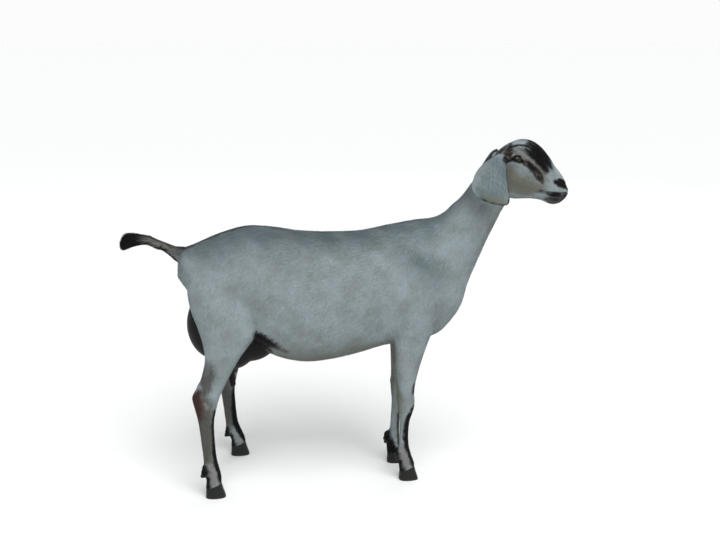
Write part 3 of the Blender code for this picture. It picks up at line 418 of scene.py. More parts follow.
hindLeg = {
    "haunch": ((-0.325, 0.650), (-0.478, 0.665), 0.058, 0.036, 0.50, 2.0, 2.0),
    "thigh": ((-0.293, 0.575), (-0.491, 0.607), 0.077, 0.046, 0.50, 2.0, 2.0),
    "lower thigh": ((-0.290, 0.512), (-0.483, 0.555), 0.094, 0.047, 0.48, 2.0, 1.9),
    "stifle": ((-0.308, 0.464), (-0.464, 0.500), 0.107, 0.043, 0.42, 2.0, 1.8),
    "gaskin top": ((-0.332, 0.430), (-0.451, 0.452), 0.116, 0.036, 0.42, 2.0, 1.7),
    "gaskin": ((-0.356, 0.394), (-0.446, 0.409), 0.124, 0.0295, 0.42, 2.0, 1.7),
    "gaskin low": ((-0.380, 0.352), (-0.455, 0.364), 0.130, 0.0240, 0.42, 2.0, 1.7),
    "hock top": ((-0.397, 0.318), (-0.475, 0.320), 0.134, 0.0210, 0.42, 2.1, 1.8),
    "hock": ((-0.409, 0.290), (-0.4845, 0.297), 0.136, 0.0215, 0.42, 2.2, 1.9),
    "hock low": ((-0.418, 0.256), (-0.475, 0.254), 0.138, 0.0195, 0.45, 2.2, 2.0),
    "cannon top": ((-0.424, 0.220), (-0.468, 0.218), 0.140, 0.0160, 0.50, 2.1, 2.0),
    "cannon": ((-0.423, 0.165), (-0.462, 0.162), 0.143, 0.0140, 0.50, 2.0, 2.0),
    "cannon low": ((-0.419, 0.115), (-0.457, 0.110), 0.145, 0.0150, 0.50, 2.0, 2.0),
    "fetlock": ((-0.413, 0.088), (-0.459, 0.078), 0.147, 0.0200, 0.50, 2.1, 2.1),
    "pastern": ((-0.408, 0.066), (-0.4515, 0.052), 0.148, 0.0180, 0.50, 2.1, 2.1),
    "coronet": ((-0.4080, 0.047), (-0.4535, 0.029), 0.148, 0.0202, 0.50, 2.3, 2.3),
    "hoof core": ((-0.4070, 0.022), (-0.4525, 0.012), 0.148, 0.0190, 0.50, 2.3, 2.3),
}
# How far the left legs are carried forward of the plain stance above: height and distance, floor to hip
stride = {
    "fore_left": ((0.0, -0.025), (0.047, -0.025), (0.065, -0.026), (0.08, -0.022), (0.11, -0.015),
                  (0.17, -0.012), (0.22, -0.007), (0.35, 0.0)),
    "hind_left": ((0.0, 0.056), (0.047, 0.056), (0.07, 0.050), (0.10, 0.045), (0.30, 0.043),
                  (0.45, 0.026), (0.62, 0.0)),
}

# The dock of the tail: top (x, z), bottom (x, z), half width
dock = {
    "root": ((-0.470, 0.706), (-0.475, 0.652), 0.026),
    "set": ((-0.520, 0.707), (-0.523, 0.660), 0.020),
    "rise": ((-0.556, 0.719), (-0.552, 0.685), 0.0155),
    "bow": ((-0.590, 0.733), (-0.586, 0.708), 0.0120),
    "level": ((-0.622, 0.738), (-0.620, 0.716), 0.0105),
    "end": ((-0.650, 0.734), (-0.650, 0.714), 0.0080),
}

udder = {
    "rear": ((-0.421, 0.040, 0.487), (0.081, 0.052, 0.106), 0),
    "bag": ((-0.377, 0.044, 0.420), (0.076, 0.052, 0.070), 0),
    "front": ((-0.325, 0.040, 0.430), (0.080, 0.048, 0.058), 0),
}
teat = {
    "top": (-0.380, 0.058, 0.372),
    "tip": (-0.372, 0.064, 0.300),
    "radii": ((0.0, 0.0170), (0.35, 0.0122), (0.70, 0.0108), (0.90, 0.0094), (0.97, 0.0070),
              (1.0, 0.0030)),    # at shares of its length
}

# Muscle, bone and folds on both sides: centre (x, out, z), reach along, across and upright, pitch of the
# long axis in degrees, nose down, and how far the skin is raised or drawn in
bodySwellings = {
    "hip bone": ((-0.322, 0.100, 0.738), (0.038, 0.040, 0.022), -6, 0.012),
    "flank hollow": ((-0.228, 0.125, 0.682), (0.060, 0.060, 0.042), -8, -0.014),
    "loin edge": ((-0.235, 0.085, 0.738), (0.080, 0.030, 0.018), -6, 0.005),
    "rump hollow": ((-0.405, 0.090, 0.690), (0.045, 0.045, 0.032), 10, -0.006),
    "pin bone": ((-0.492, 0.052, 0.682), (0.026, 0.030, 0.022), 20, 0.010),
    "thigh": ((-0.425, 0.120, 0.585), (0.060, 0.060, 0.085), 10, 0.008),
    "stifle": ((-0.315, 0.140, 0.480), (0.030, 0.040, 0.040), 50, 0.007),
    "shoulder blade": ((0.200, 0.105, 0.660), (0.115, 0.050, 0.040), 66, 0.011),
    "blade top": ((0.160, 0.055, 0.752), (0.038, 0.035, 0.024), -10, 0.006),
    "point of shoulder": ((0.262, 0.075, 0.548), (0.034, 0.040, 0.038), 40, 0.012),
    "triceps": ((0.142, 0.120, 0.560), (0.052, 0.050, 0.052), -30, 0.008),
    "flank fold": ((-0.282, 0.138, 0.500), (0.045, 0.050, 0.055), 40, 0.007),
    "behind elbow": ((0.062, 0.130, 0.520), (0.028, 0.050, 0.080), 0, -0.007),
    "neck groove": ((0.268, 0.070, 0.690), (0.110, 0.030, 0.020), -64, -0.004),
    "elbow": ((0.092, 0.110, 0.488), (0.020, 0.030, 0.024), 0, 0.006),
    "cheek": ((0.442, 0.045, 0.888), (0.036, 0.030, 0.036), 60, 0.0075),
    "jaw edge": ((0.420, 0.040, 0.860), (0.030, 0.022, 0.018), 45, 0.004),
    "cheekbone": ((0.476, 0.045, 0.918), (0.038, 0.022, 0.010), 40, 0.0045),
    "face hollow": ((0.506, 0.038, 0.896), (0.026, 0.020, 0.014), 44, -0.004),
    "orbit": ((0.4365, 0.048, 0.9535), (0.0215, 0.030, 0.0185), 26, 0.0100),
    "brow": ((0.452, 0.036, 0.976), (0.020, 0.016, 0.010), 30, 0.0040),
    "temple": ((0.412, 0.042, 0.958), (0.010, 0.020, 0.014), 0, -0.003),
    "upper lip": ((0.566, 0.024, 0.868), (0.024, 0.016, 0.012), 26, 0.0035),
    "lower lip": ((0.556, 0.022, 0.838), (0.024, 0.014, 0.009), 4, 0.0025),
    "nostril wing": ((0.574, 0.024, 0.890), (0.014, 0.014, 0.011), 40, 0.0030),
    "mouth corner": ((0.514, 0.034, 0.860), (0.010, 0.012, 0.010), 0, 0.0020),
}
midlineSwellings = {
    "brisket": ((0.232, 0.0, 0.450), (0.045, 0.045, 0.030), 40, 0.003),
    "keel": ((0.130, 0.0, 0.410), (0.090, 0.030, 0.030), -6, 0.004),
    "chin": ((0.556, 0.0, 0.822), (0.020, 0.022, 0.010), 0, 0.0040),
    "nose ridge": ((0.540, 0.0, 0.950), (0.050, 0.014, 0.020), 50, 0.0015),
    "nose tip": ((0.597, 0.0, 0.872), (0.010, 0.008, 0.016), 0, -0.0015),
}
# Fine folds of the head, which only the skin has
headFolds = {
    "upper lid crease": ((0.4385, 0.052, 0.9655), (0.0150, 0.016, 0.0017), 24, -0.0016),
    "crease above": ((0.4400, 0.050, 0.9700), (0.0130, 0.016, 0.0015), 22, -0.0009),
    "lower lid crease": ((0.4365, 0.056, 0.9415), (0.0140, 0.016, 0.0016), 28, -0.0005),
    "bag under the eye": ((0.4400, 0.055, 0.9370), (0.0120, 0.016, 0.0020), 28, 0.0014),
    "tear groove": ((0.4600, 0.050, 0.9400), (0.0110, 0.014, 0.0024), 40, -0.0018),
    "outer corner fold": ((0.4180, 0.052, 0.9600), (0.0060, 0.014, 0.0016), 10, -0.0010),
    "facial vein": ((0.4920, 0.042, 0.9000), (0.0340, 0.020, 0.0026), 52, 0.0012),
    "cheek line": ((0.4700, 0.042, 0.8700), (0.0030, 0.020, 0.0260), -14, -0.0014),
    "jaw bone": ((0.4900, 0.030, 0.8420), (0.0400, 0.020, 0.0050), 8, 0.0014),
    "nose crease 1": ((0.5590, 0.026, 0.8960), (0.0016, 0.014, 0.0090), 30, -0.0010),
    "nose crease 2": ((0.5530, 0.027, 0.8990), (0.0015, 0.014, 0.0080), 30, -0.0007),
    "lip crease 1": ((0.5100, 0.034, 0.8640), (0.0016, 0.014, 0.0070), 8, -0.0012),
    "lip crease 2": ((0.5050, 0.035, 0.8640), (0.0015, 0.014, 0.0060), 4, -0.0008),
    "lower lip roll": ((0.5580, 0.022, 0.8480), (0.0240, 0.014, 0.0018), 2, 0.0009),
    "chin crease": ((0.5480, 0.020, 0.8350), (0.0160, 0.014, 0.0018), 2, -0.0009),
}
middleFolds = {
    "philtrum": ((0.6030, 0.0, 0.8660), (0.0080, 0.0012, 0.0130), 0, -0.0016),
    "chin dip": ((0.5860, 0.0, 0.8310), (0.0060, 0.0020, 0.0050), 0, -0.0006),
}
# Bone and tendon of the lower legs, the same on all sides of a leg: foot, centre, reach, pitch, height
legRelief = {
    "fore tendon groove": ("fore", (0.1215, 0.067, 0.145), (0.0024, 0.030, 0.052), 0, -0.0022),
    "fore tendon": ("fore", (0.1150, 0.067, 0.145), (0.0040, 0.030, 0.055), 0, 0.0010),
    "knee bones": ("fore", (0.1480, 0.072, 0.258), (0.0080, 0.030, 0.0060), 0, 0.0012),
    "knee bones low": ("fore", (0.1480, 0.071, 0.228), (0.0080, 0.030, 0.0060), 0, 0.0012),
    "knee crease": ("fore", (0.1520, 0.072, 0.243), (0.0100, 0.030, 0.0024), 0, -0.0010),
    "pisiform": ("fore", (0.1060, 0.072, 0.262), (0.0070, 0.020, 0.0100), 0, 0.0030),
    "forearm groove": ("fore", (0.1240, 0.085, 0.350), (0.0040, 0.030, 0.0600), 4, -0.0018),
    "hind tendon groove": ("hind", (-0.4480, 0.143, 0.160), (0.0028, 0.030, 0.060), 0, -0.0024),
    "hind tendon": ("hind", (-0.4560, 0.143, 0.165), (0.0042, 0.030, 0.062), 0, 0.0010),
    "hock hollow": ("hind", (-0.4530, 0.138, 0.325), (0.0070, 0.040, 0.0280), -14, -0.0045),
    "hock joint": ("hind", (-0.4260, 0.140, 0.278), (0.0100, 0.030, 0.0120), 0, 0.0022),
    "great tendon": ("hind", (-0.4660, 0.134, 0.345), (0.0040, 0.030, 0.0300), -10, 0.0012),
    "fore pastern crease": ("fore", (0.1250, 0.065, 0.0660), (0.0300, 0.030, 0.0016), -14, -0.0009),
    "hind pastern crease": ("hind", (-0.4350, 0.148, 0.0655), (0.0300, 0.030, 0.0016), -14, -0.0009),
}
ribs = {
    "first": (0.020, 0.150, 0.590),  # x, out, z of its middle
    "count": 8,
    "spacing": -0.0330,
    "reach": (0.0080, 0.10, 0.100),
    "drop": 0.004,                   # of each one below the last
    "pitch": 14,
    "height": 0.0013,
}

eyes = {
    "centre": (0.4375, 0.0405, 0.9525),
    "radius": 0.0160,
    "forward": 24,        # degrees that the gaze turns forward of square
    "up": 8,
    "lidTilt": 26,        # degrees that the front corner lies below the rear one
    "lidHalfLength": 0.0140,
    "lidHalfHeights": (0.0080, 0.0062),  # upper and lower
    "pinch": 0.25,        # share that the almond is slimmer at its corners
    # the cut between the lids: depths as shares of the radius, and scales of the almond there
    "opening": ((0.375, 0.6), (1.0, 1.0), (1.6, 1.35)),
    "rim": 0.0016,
    "gap": 0.0003,        # between the globe and its socket
}
mouth = {
    "line": ((0.513, 0.0320, 0.8640), (0.530, 0.0310, 0.8585), (0.552, 0.0285, 0.8550),
             (0.573, 0.0250, 0.8535), (0.590, 0.0165, 0.8530), (0.5975, 0.0, 0.8525)),
    "depth": 0.0042,
    "height": 0.0034,     # at the outside of the groove
    "clear": 0.010,       # how far the cut starts outside the lips
}
nostril = {
    "path": ((0.5890, 0.0100, 0.8760), (0.5860, 0.0150, 0.8790), (0.5800, 0.0200, 0.8835),
             (0.5735, 0.0240, 0.8875), (0.5680, 0.0275, 0.8905)),
    "radii": (0.0030, 0.0044, 0.0042, 0.0032, 0.0018),
}

# The hanging ear, from root to lowest edge: height, front edge, rear edge, stand-off from the midline and
# the half angle of its curl
ear = {
    "root": (0.970, 0.4055, 0.3870, 0.045, 88),
    "shoulder": (0.9555, 0.4060, 0.3585, 0.056, 72),
    "upper": (0.9370, 0.4050, 0.3300, 0.070, 57),
    "middle": (0.910, 0.4055, 0.3110, 0.084, 47),
    "broad": (0.883, 0.4070, 0.3050, 0.096, 41),
    "lower": (0.860, 0.4090, 0.3180, 0.106, 36),
    "edge": (0.845, 0.4080, 0.3440, 0.112, 33),
    "tip": (0.836, 0.4020, 0.3780, 0.115, 30),
}
earForm = {
    "thickness": (0.0070, 0.0036),   # at the root and at the tip
    "rimShare": 0.62,                # of that thickness, along the edges
    "ridges": (0.0007, 9.0),         # height of the gristle's long ridges, and how close they stand
    "rows": 33,                      # points across the leaf
    # degrees that it hangs forward about its root, and share of the stand-off
    "hang": {"right": (0, 1.0), "left": (31, 0.75)},
    "rootAt": (0.398, 0.960),
    "bulb": ((0.402, 0.043, 0.950), (0.016, 0.014, 0.020), 60),
}


def trunkRows(table):
    return [(*top, *bottom, 0.0, *rest) for top, bottom, *rest in table.values()]


def strideShift(leg, z):
    return float(np.interp(z, *zip(*stride[leg]))) if leg in stride else 0.0


def legRows(table, leg):
    rows = []
    for (ax, az), (bx, bz), *rest in table.values():
        rows.append((ax + strideShift(leg, az), az, bx + strideShift(leg, bz), bz, *rest))
    return rows


def dockRows():
    return [(*top, *bottom, 0.0, half, 0.45, 2.0, 2.0) for top, bottom, half in dock.values()]


# A trunk row drawn in or let out about its own middle
def scaledRow(row, scale):
    ax, az, bx, bz, out, half, *rest = row
    mx, mz = (ax + bx) / 2, (az + bz) / 2
    top = (mx + (ax - mx) * scale, mz + (az - mz) * scale)
    bottom = (mx + (bx - mx) * scale, mz + (bz - mz) * scale)
    return (*top, *bottom, out, half * scale, *rest)


# Moves points along their normals by every swelling, which at its reach has 30 % of its height
def swollen(points, normals, table, mirrored):
    for centre, reach, pitch, height in table.values():
        turn = np.array(Matrix.Rotation(math.radians(pitch), 3, "Y"))
        for side in (-1, 1) if mirrored else (1,):
            away = ((points - np.array(centre) * (1, side, 1)) @ turn) / reach
            points = points + normals * (height * np.exp(-1.2 * (away**2).sum(axis=1)))[:, None]
    return points


def legSwollen(points, normals):
    for foot, (x, out, z), *form in legRelief.values():
        for label, side in sideSign.items():
            placed = {label: ((x + strideShift(f"{foot}_{label}", z), side * out, z), *form)}
            points = swollen(points, normals, placed, False)
    return points


def ribTable():
    x, out, z = ribs["first"]
    table = {}
    for k in range(ribs["count"]):
        centre = (x + k * ribs["spacing"], out, z - ribs["drop"] * k)
        table[f"rib {k}"] = (centre, ribs["reach"], ribs["pitch"], ribs["height"])
    return table


# How much of the heavy smoothing a point takes: all of it on the trunk, none on legs, head and tail.
# Each bound is a place and the distance over which the share goes from none to all.
trunkBounds = {"tail": (-0.530, 0.03), "neck": (0.30, 0.05), "legs": (0.38, 0.10)}


def trunkShare(points):
    x, z = points[:, 0], points[:, 2]
    (tailX, tailSoft), (neckX, neckSoft), (legZ, legSoft) = trunkBounds.values()
    share = np.clip((z - legZ) / legSoft, 0, 1) * np.clip((x - tailX) / tailSoft, 0, 1)
    return share * np.clip((neckX - x) / neckSoft, 0, 1)


# The grid of points of one face of an ear
def earSurface(label, outer):
    side = sideSign[label]
    swing, spread = earForm["hang"][label]
    swing = math.radians(swing)
    rootX, rootZ = earForm["rootAt"]
    rootThick, tipThick = earForm["thickness"]
    rim = tipThick * earForm["rimShare"]
    ridgeHeight, ridgeTurns = earForm["ridges"]
    rows = smoothRows(list(ear.values()), 5)
    grid = []
    for i, (z, front, rear, out, curl) in enumerate(rows):
        share = i / (len(rows) - 1)
        angle = math.radians(curl)
        radius = (front - rear) / 2 / math.sin(angle)
        away = rows[0][3] + (out - rows[0][3]) * spread
        line = []
        for s in np.linspace(-1, 1, earForm["rows"]):
            thick = rootThick * (1 - share) + tipThick * share
            level = rim + (thick - rim) * (1 - abs(s) ** 3)
            ridge = ridgeHeight * math.cos(s * ridgeTurns) * (1 - share) * (1 - s * s)
            reach = radius + (level / 2 + ridge if outer else -level / 2)
            ahead = (front + rear) / 2 + reach * math.sin(s * angle) - rootX
            above = z - rootZ
            x = rootX + ahead * math.cos(swing) - above * math.sin(swing)
            y = away + reach * math.cos(s * angle) - radius * math.cos(angle)
            line.append((x, side * y, rootZ + ahead * math.sin(swing) + above * math.cos(swing)))
        grid.append(line)
    return np.array(grid)


def earLeaf(label):
    outer, inner = earSurface(label, True), earSurface(label, False)
    high, wide = outer.shape[:2]
    other = high * wide
    faces = []
    for i in range(high - 1):
        for j in range(wide - 1):
            a = i * wide + j
            quad = (a, a + 1, a + wide + 1, a + wide)
            faces += [quad, tuple(other + k for k in reversed(quad))]
    rim = list(range(wide)) + [i * wide + wide - 1 for i in range(1, high)]
    rim += [(high - 1) * wide + j for j in range(wide - 2, -1, -1)]
    rim += [i * wide for i in range(high - 2, 0, -1)]
    for a, b in zip(rim, rim[1:] + rim[:1]):
        faces.append((a, b, other + b, other + a))
    points = np.concatenate([outer.reshape(-1, 3), inner.reshape(-1, 3)])
    return newObject(f"leaf {label}", points, faces)


# The gaze, the line towards the front corner and the upright of an eye
def eyeAxes(side):
    gaze = heading(eyes["forward"], eyes["up"], side)
    tilt = math.radians(eyes["lidTilt"])
    front = Vector((math.cos(tilt), 0, -math.sin(tilt)))
    front = (front - gaze * front.dot(gaze)).normalized()
    upright = front.cross(gaze) * (-side)
    if upright.z < 0:
        upright.negate()
    return gaze, front, upright


def eyeCentre(side):
    x, y, z = eyes["centre"]
    return Vector((x, side * y, z))


# A point of the almond between the lids, flat on the plane of the eye
def almondPoint(front, upright, t):
    height = eyes["lidHalfHeights"][0 if math.sin(t) > 0 else 1]
    up = height * math.sin(t) * (1 - eyes["pinch"] * math.cos(t) ** 2)
    return front * (eyes["lidHalfLength"] * math.cos(t)) + upright * up


# How far points from the eye's centre lie towards the edge of the almond, where it is about 1
def almondShare(spots, front, upright):
    along = spots @ np.array(front) / eyes["lidHalfLength"]
    across = spots @ np.array(upright) / eyes["lidHalfHeights"][0]
    return np.hypot(along, across)


def eyeOpening(side):
    gaze, front, upright = eyeAxes(side)
    turns = np.linspace(0, 2 * math.pi, 56, endpoint=False)
    rings = []
    for depth, scale in eyes["opening"]:
        middle = eyeCentre(side) + gaze * (eyes["radius"] * depth)
        rings.append(np.array([middle + almondPoint(front, upright, t) * scale for t in turns]))
    return skinRings("almond", rings)


# The rounded edge of the lids
def lidRim(side):
    gaze, front, upright = eyeAxes(side)
    rings = []
    for t in np.linspace(0, 2 * math.pi, 64, endpoint=False):
        flat = almondPoint(front, upright, t)
        flat *= 1 + eyes["rim"] / flat.length
        deep = math.sqrt(max((eyes["radius"] + eyes["rim"]) ** 2 - flat.length**2, 0))
        spot = eyeCentre(side) + flat + gaze * deep
        outward = flat.normalized()
        turns = np.linspace(0, 2 * math.pi, 12, endpoint=False)
        rings.append([np.array(spot + eyes["rim"] * (outward * math.cos(a) + gaze * math.sin(a)))
                      for a in turns])
    return bandRings("lid", rings)


# The groove that parts the lips, a wedge with its edge inwards
def mouthCutter():
    half = smoothRows(mouth["line"], 6)
    path = np.array([(x, -y, z) for x, y, z in half] + [tuple(p) for p in half[::-1][1:]])
    tall = np.array([0, 0, mouth["height"]])
    rings = []
    for i, point in enumerate(path):
        along = path[min(i + 1, len(path) - 1)] - path[max(i - 1, 0)]
        out = np.array([along[1], -along[0], 0.0]) / math.hypot(along[0], along[1])
        outside = point + out * mouth["clear"]
        rings.append(np.array([point - out * mouth["depth"], outside - tall, outside + tall]))
    return skinRings("mouth", rings)


def nostrilCutter(side):
    path = smoothRows(nostril["path"], 4) * (1, side, 1)
    radii = smoothRows([(r, 0) for r in nostril["radii"]], 4)[:, 0]
    return tube("nostril", path, radii)


# Hooves

claws = {
    "length": 0.0577,
    "toeHeight": 0.0440,
    "heelHeight": 0.0270,
    "halfWidth": 0.0235,    # from the cleft to the outer wall at the sole
    "cleft": 0.0036,
    "toeSlope": 0.0130,     # how far the toe runs ahead of the coronet
    "heelSlope": 0.0020,
    "footOut": {"fore": 0.064, "hind": 0.148},
    "ringHeight": 0.00022,  # growth rings
    "ringSpacing": 0.0034,
    "slimmer": 0.14,        # share of its width that it loses up to the coronet
    "soleEdge": 0.0010,     # rounding of the sole's edge
    "crownEdge": 0.0008,    # and of the coronet's
    "edgeEnds": (0.06, 0.90),  # shares of its height over which these two lie
    "hollow": 0.0007,       # of the toe's front
    "bulge": (0.62, 0.22),  # how square the outer wall is, and how far it narrows to the toe
    "levels": 26,
    "outline": 33,          # points round the outer wall
    "inside": 9,            # points along the cleft
    "sharp": 50,            # degrees from which an edge isn't shaded round
    "gap": 0.0003,          # between claw and flesh
    "cut": (0.03, 0.05, 0.1),  # how far the flesh is cut away past the claws, along, across and down
}
dewclaws = {
    "size": (0.0085, 0.0065, 0.0110),
    "place": {"fore": (0.1095, 0.0120, 0.0735), "hind": (-0.4570, 0.0125, 0.0725)},
    "taper": 0.26,
    "ringHeight": 0.012,    # as a share of the radius
    "ringTurns": 22,
    "tilt": 50,             # degrees that its tip points back
    # the flesh over it: how far ahead and above, and its radii
    "mound": ((0.0065, 0.0085), (0.0145, 0.0100, 0.0165)),
}


# The space of a foot's claws, with its slanting top, that the flesh leaves free
def coronetBox(foot, side, shift):
    length = claws["length"] - claws["toeSlope"] - claws["heelSlope"]
    rise = (claws["toeHeight"] - claws["heelHeight"]) / length
    x = heelX[foot] + claws["heelSlope"] + shift
    y = side * claws["footOut"][foot]
    ahead, aside, below = claws["cut"]
    corners = []
    for dx in (-ahead, length + ahead):
        top = claws["heelHeight"] + rise * dx + claws["gap"]
        for dy in (-aside, aside):
            corners += [(x + dx, y + dy, -below), (x + dx, y + dy, top)]
    return solidBox("coronet", corners)


# The lie of the coat

# Where it is given: (x, out, z) in mm, the way that the hair points, hair length, tuft width and coat
# depth in mm, and tufts to the square centimetre. Between these places it changes smoothly.
lie = {
    "muzzle top": ((578, 8, 905), (-0.55, 0.1, 0.75), 4, 0.7, 0.6, 80),
    "nose side": ((558, 29, 887), (-0.8, 0.2, 0.4), 4, 0.7, 0.6, 80),
    "upper lip": ((560, 28, 866), (-0.8, 0.1, -0.3), 3.4, 0.65, 0.5, 86),
    "lip edge": ((592, 15, 857), (-0.8, 0.5, -0.1), 2.2, 0.55, 0.3, 100),
    "lip front": ((600, 8, 862), (-0.3, 0.8, -0.35), 2.4, 0.6, 0.3, 95),
    "lower lip": ((570, 20, 840), (-0.8, 0.2, -0.4), 4.5, 0.75, 0.5, 75),
    "chin": ((565, 5, 824), (-0.8, 0.05, -0.6), 8, 0.85, 1, 60),
    "lower jaw": ((505, 27, 842), (-1, 0.05, -0.2), 7, 0.9, 1, 52),
    "under jaw": ((490, 0, 834), (-1, 0.05, -0.2), 9, 0.95, 1.2, 46),
    "bridge": ((553, 10, 938), (-0.6, 0.15, 0.8), 5, 0.8, 0.8, 66),
    "forehead": ((512, 15, 986), (-0.85, 0.25, 0.5), 6, 0.85, 1, 60),
    "crown": ((465, 15, 1004), (-1, 0.2, 0.05), 8, 0.9, 1.2, 50),
    "poll": ((418, 12, 990), (-0.95, 0.15, -0.35), 11, 1, 1.6, 38),
    "face side": ((520, 37, 915), (-0.85, 0.15, 0.35), 5, 0.8, 0.8, 66),
    "before the eye": ((480, 46, 940), (-0.9, 0.3, 0.15), 4.5, 0.75, 0.8, 72),
    "brow": ((448, 46, 976), (-0.85, 0.3, 0.4), 5, 0.8, 0.8, 66),
    "under the eye": ((448, 54, 932), (-1, 0.2, -0.15), 4.5, 0.75, 0.8, 72),
    "cheek": ((455, 50, 892), (-0.92, 0.1, -0.35), 6.5, 0.9, 1, 54),
    "jaw angle": ((425, 40, 862), (-0.75, 0, -0.65), 8, 0.95, 1.2, 46),
    "ear root": ((396, 56, 962), (-0.3, 0.3, -0.9), 6, 0.85, 0.7, 58),
    "ear front": ((404, 84, 905), (0.1, 0.2, -1), 5.5, 0.8, 0.7, 58),
    "ear upper": ((362, 83, 930), (-0.3, 0.25, -0.95), 6, 0.85, 0.7, 56),
    "ear middle": ((358, 106, 888), (-0.05, 0.15, -1), 6, 0.85, 0.7, 56),
    "ear rear": ((312, 92, 896), (-0.35, 0.1, -0.95), 6, 0.85, 0.7, 56),
    "ear tip": ((388, 118, 842), (0.2, 0.05, -1), 6, 0.85, 0.7, 56),
    "ear lower rear": ((335, 112, 858), (-0.1, 0.1, -1), 6, 0.85, 0.7, 56),
    "nape": ((370, 0, 950), (-0.68, 0, -0.74), 14, 1.1, 2, 26),
    "crest": ((305, 0, 860), (-0.62, 0, -0.78), 16, 1.15, 2.4, 20),
    "neck side high": ((378, 42, 880), (-0.6, 0, -0.8), 10, 1.05, 1.8, 26),
    "neck side": ((335, 52, 800), (-0.55, 0.05, -0.84), 12, 1.15, 2.2, 20),
    "throat": ((412, 0, 810), (-0.5, 0, -0.87), 11, 1.1, 2, 24),
    "neck front": ((350, 0, 670), (-0.45, 0, -0.9), 13, 1.15, 2.4, 18),
    "neck base": ((290, 70, 710), (-0.65, 0.1, -0.76), 13, 1.2, 2.4, 17),
    "withers": ((155, 0, 776), (-1, 0, -0.1), 18, 1.25, 2.8, 16),
    "back": ((-85, 0, 743), (-1, 0, 0), 17, 1.25, 2.8, 15),
    "loin": ((-250, 0, 760), (-1, 0, 0), 16, 1.25, 2.8, 15),
    "croup": ((-410, 0, 740), (-0.95, 0, -0.3), 15, 1.25, 2.6, 16),
    "upper ribs": ((-80, 120, 690), (-0.92, 0.1, -0.38), 14, 1.25, 2.6, 14),
    "shoulder": ((205, 110, 660), (-0.5, 0.05, -0.86), 12, 1.2, 2.4, 16),
    "point of shoulder": ((275, 75, 550), (-0.3, 0.25, -0.92), 12, 1.2, 2.4, 16),
    "brisket": ((250, 0, 470), (-0.55, 0, -0.83), 14, 1.2, 2.4, 16),
    "girth": ((0, 160, 600), (-0.85, 0, -0.52), 13, 1.25, 2.6, 14),
    "barrel": ((-100, 178, 560), (-0.85, 0, -0.52), 13, 1.25, 2.6, 14),
    "flank": ((-240, 145, 560), (-0.7, 0, -0.71), 13, 1.25, 2.6, 15),
    "belly side": ((-90, 125, 430), (-0.88, -0.3, -0.36), 12, 1.2, 2.2, 16),
    "belly": ((-80, 0, 372), (-1, 0, 0), 12, 1.2, 2, 16),
    "chest floor": ((120, 0, 405), (-1, 0, 0), 12, 1.2, 2, 16),
    "rump": ((-400, 105, 680), (-0.62, 0, -0.78), 13, 1.25, 2.6, 15),
    "thigh": ((-400, 125, 580), (-0.4, 0, -0.92), 13, 1.2, 2.4, 16),
    "rear of thigh": ((-490, 60, 590), (-0.4, 0.1, -0.9), 16, 1.2, 2.4, 18),
    "stifle": ((-310, 145, 480), (-0.35, 0, -0.94), 12, 1.15, 2, 18),
    "inner thigh": ((-400, 75, 500), (-0.2, 0, -1), 8, 1, 1.4, 26),
    "seat": ((-515, 20, 660), (-0.3, 0.3, -0.9), 10, 1.1, 1.8, 22),
    "upper arm": ((150, 125, 550), (-0.38, 0, -0.92), 11, 1.15, 2.2, 18),
    "elbow": ((100, 110, 470), (-0.3, 0, -0.95), 12, 1.1, 2, 20),
    "forearm": ((135, 85, 380), (-0.12, 0, -1), 8.5, 1, 1.6, 30),
    "knee": ((130, 72, 245), (-0.05, 0, -1), 6.5, 0.9, 1.3, 42),
    "fore cannon": ((127, 67, 145), (-0.08, 0, -1), 6, 0.9, 1.1, 46),
    "fore fetlock": ((108, 65, 85), (-0.3, 0, -0.95), 9, 0.95, 1.2, 48),
    "fore pastern": ((140, 65, 62), (0.3, 0, -0.95), 6, 0.85, 1.1, 56),
    "gaskin": ((-405, 128, 400), (-0.35, 0, -0.94), 9, 1.05, 1.7, 28),
    "hock": ((-445, 137, 290), (-0.1, 0, -1), 7, 0.95, 1.3, 40),
    "hind cannon": ((-443, 143, 165), (-0.05, 0, -1), 6, 0.9, 1.1, 46),
    "hind fetlock": ((-460, 147, 84), (-0.3, 0, -0.95), 9, 0.95, 1.2, 48),
    "hind pastern": ((-430, 148, 62), (0.3, 0, -0.95), 6, 0.85, 1.1, 56),
    "tail root": ((-505, 0, 705), (-1, 0, 0), 12, 1.15, 2.2, 20),
    "dock": ((-560, 0, 705), (-0.92, 0, 0.38), 14, 1.1, 2.2, 24),
    "dock end": ((-640, 0, 725), (-1, 0, 0), 16, 1.1, 2, 24),
    "udder": ((-400, 60, 400), (-0.1, 0, -1), 3, 0.8, 0.3, 8),
}
# How the places are weighed at a point
lieBlend = {
    "near": 1e-5,      # square metres within which a place doesn't gain any more
    "power": 2.2,      # how fast a place loses weight with the square of its distance
    "chunk": 40000,    # points at a time
}


# Where a point of her left side is carried with a leg or the ear. All but the last fade in.
leftLimbs = {
    "fore": (-0.10, -0.04),    # x of the fore leg
    "hind": (0.20, 0.26),      # -x of the hind leg
    "below": (-0.72, -0.66),   # -z of both
    "earOut": (0.057, 0.062),
    "ear": (0.28, 0.78),       # x and z that it lies above
}


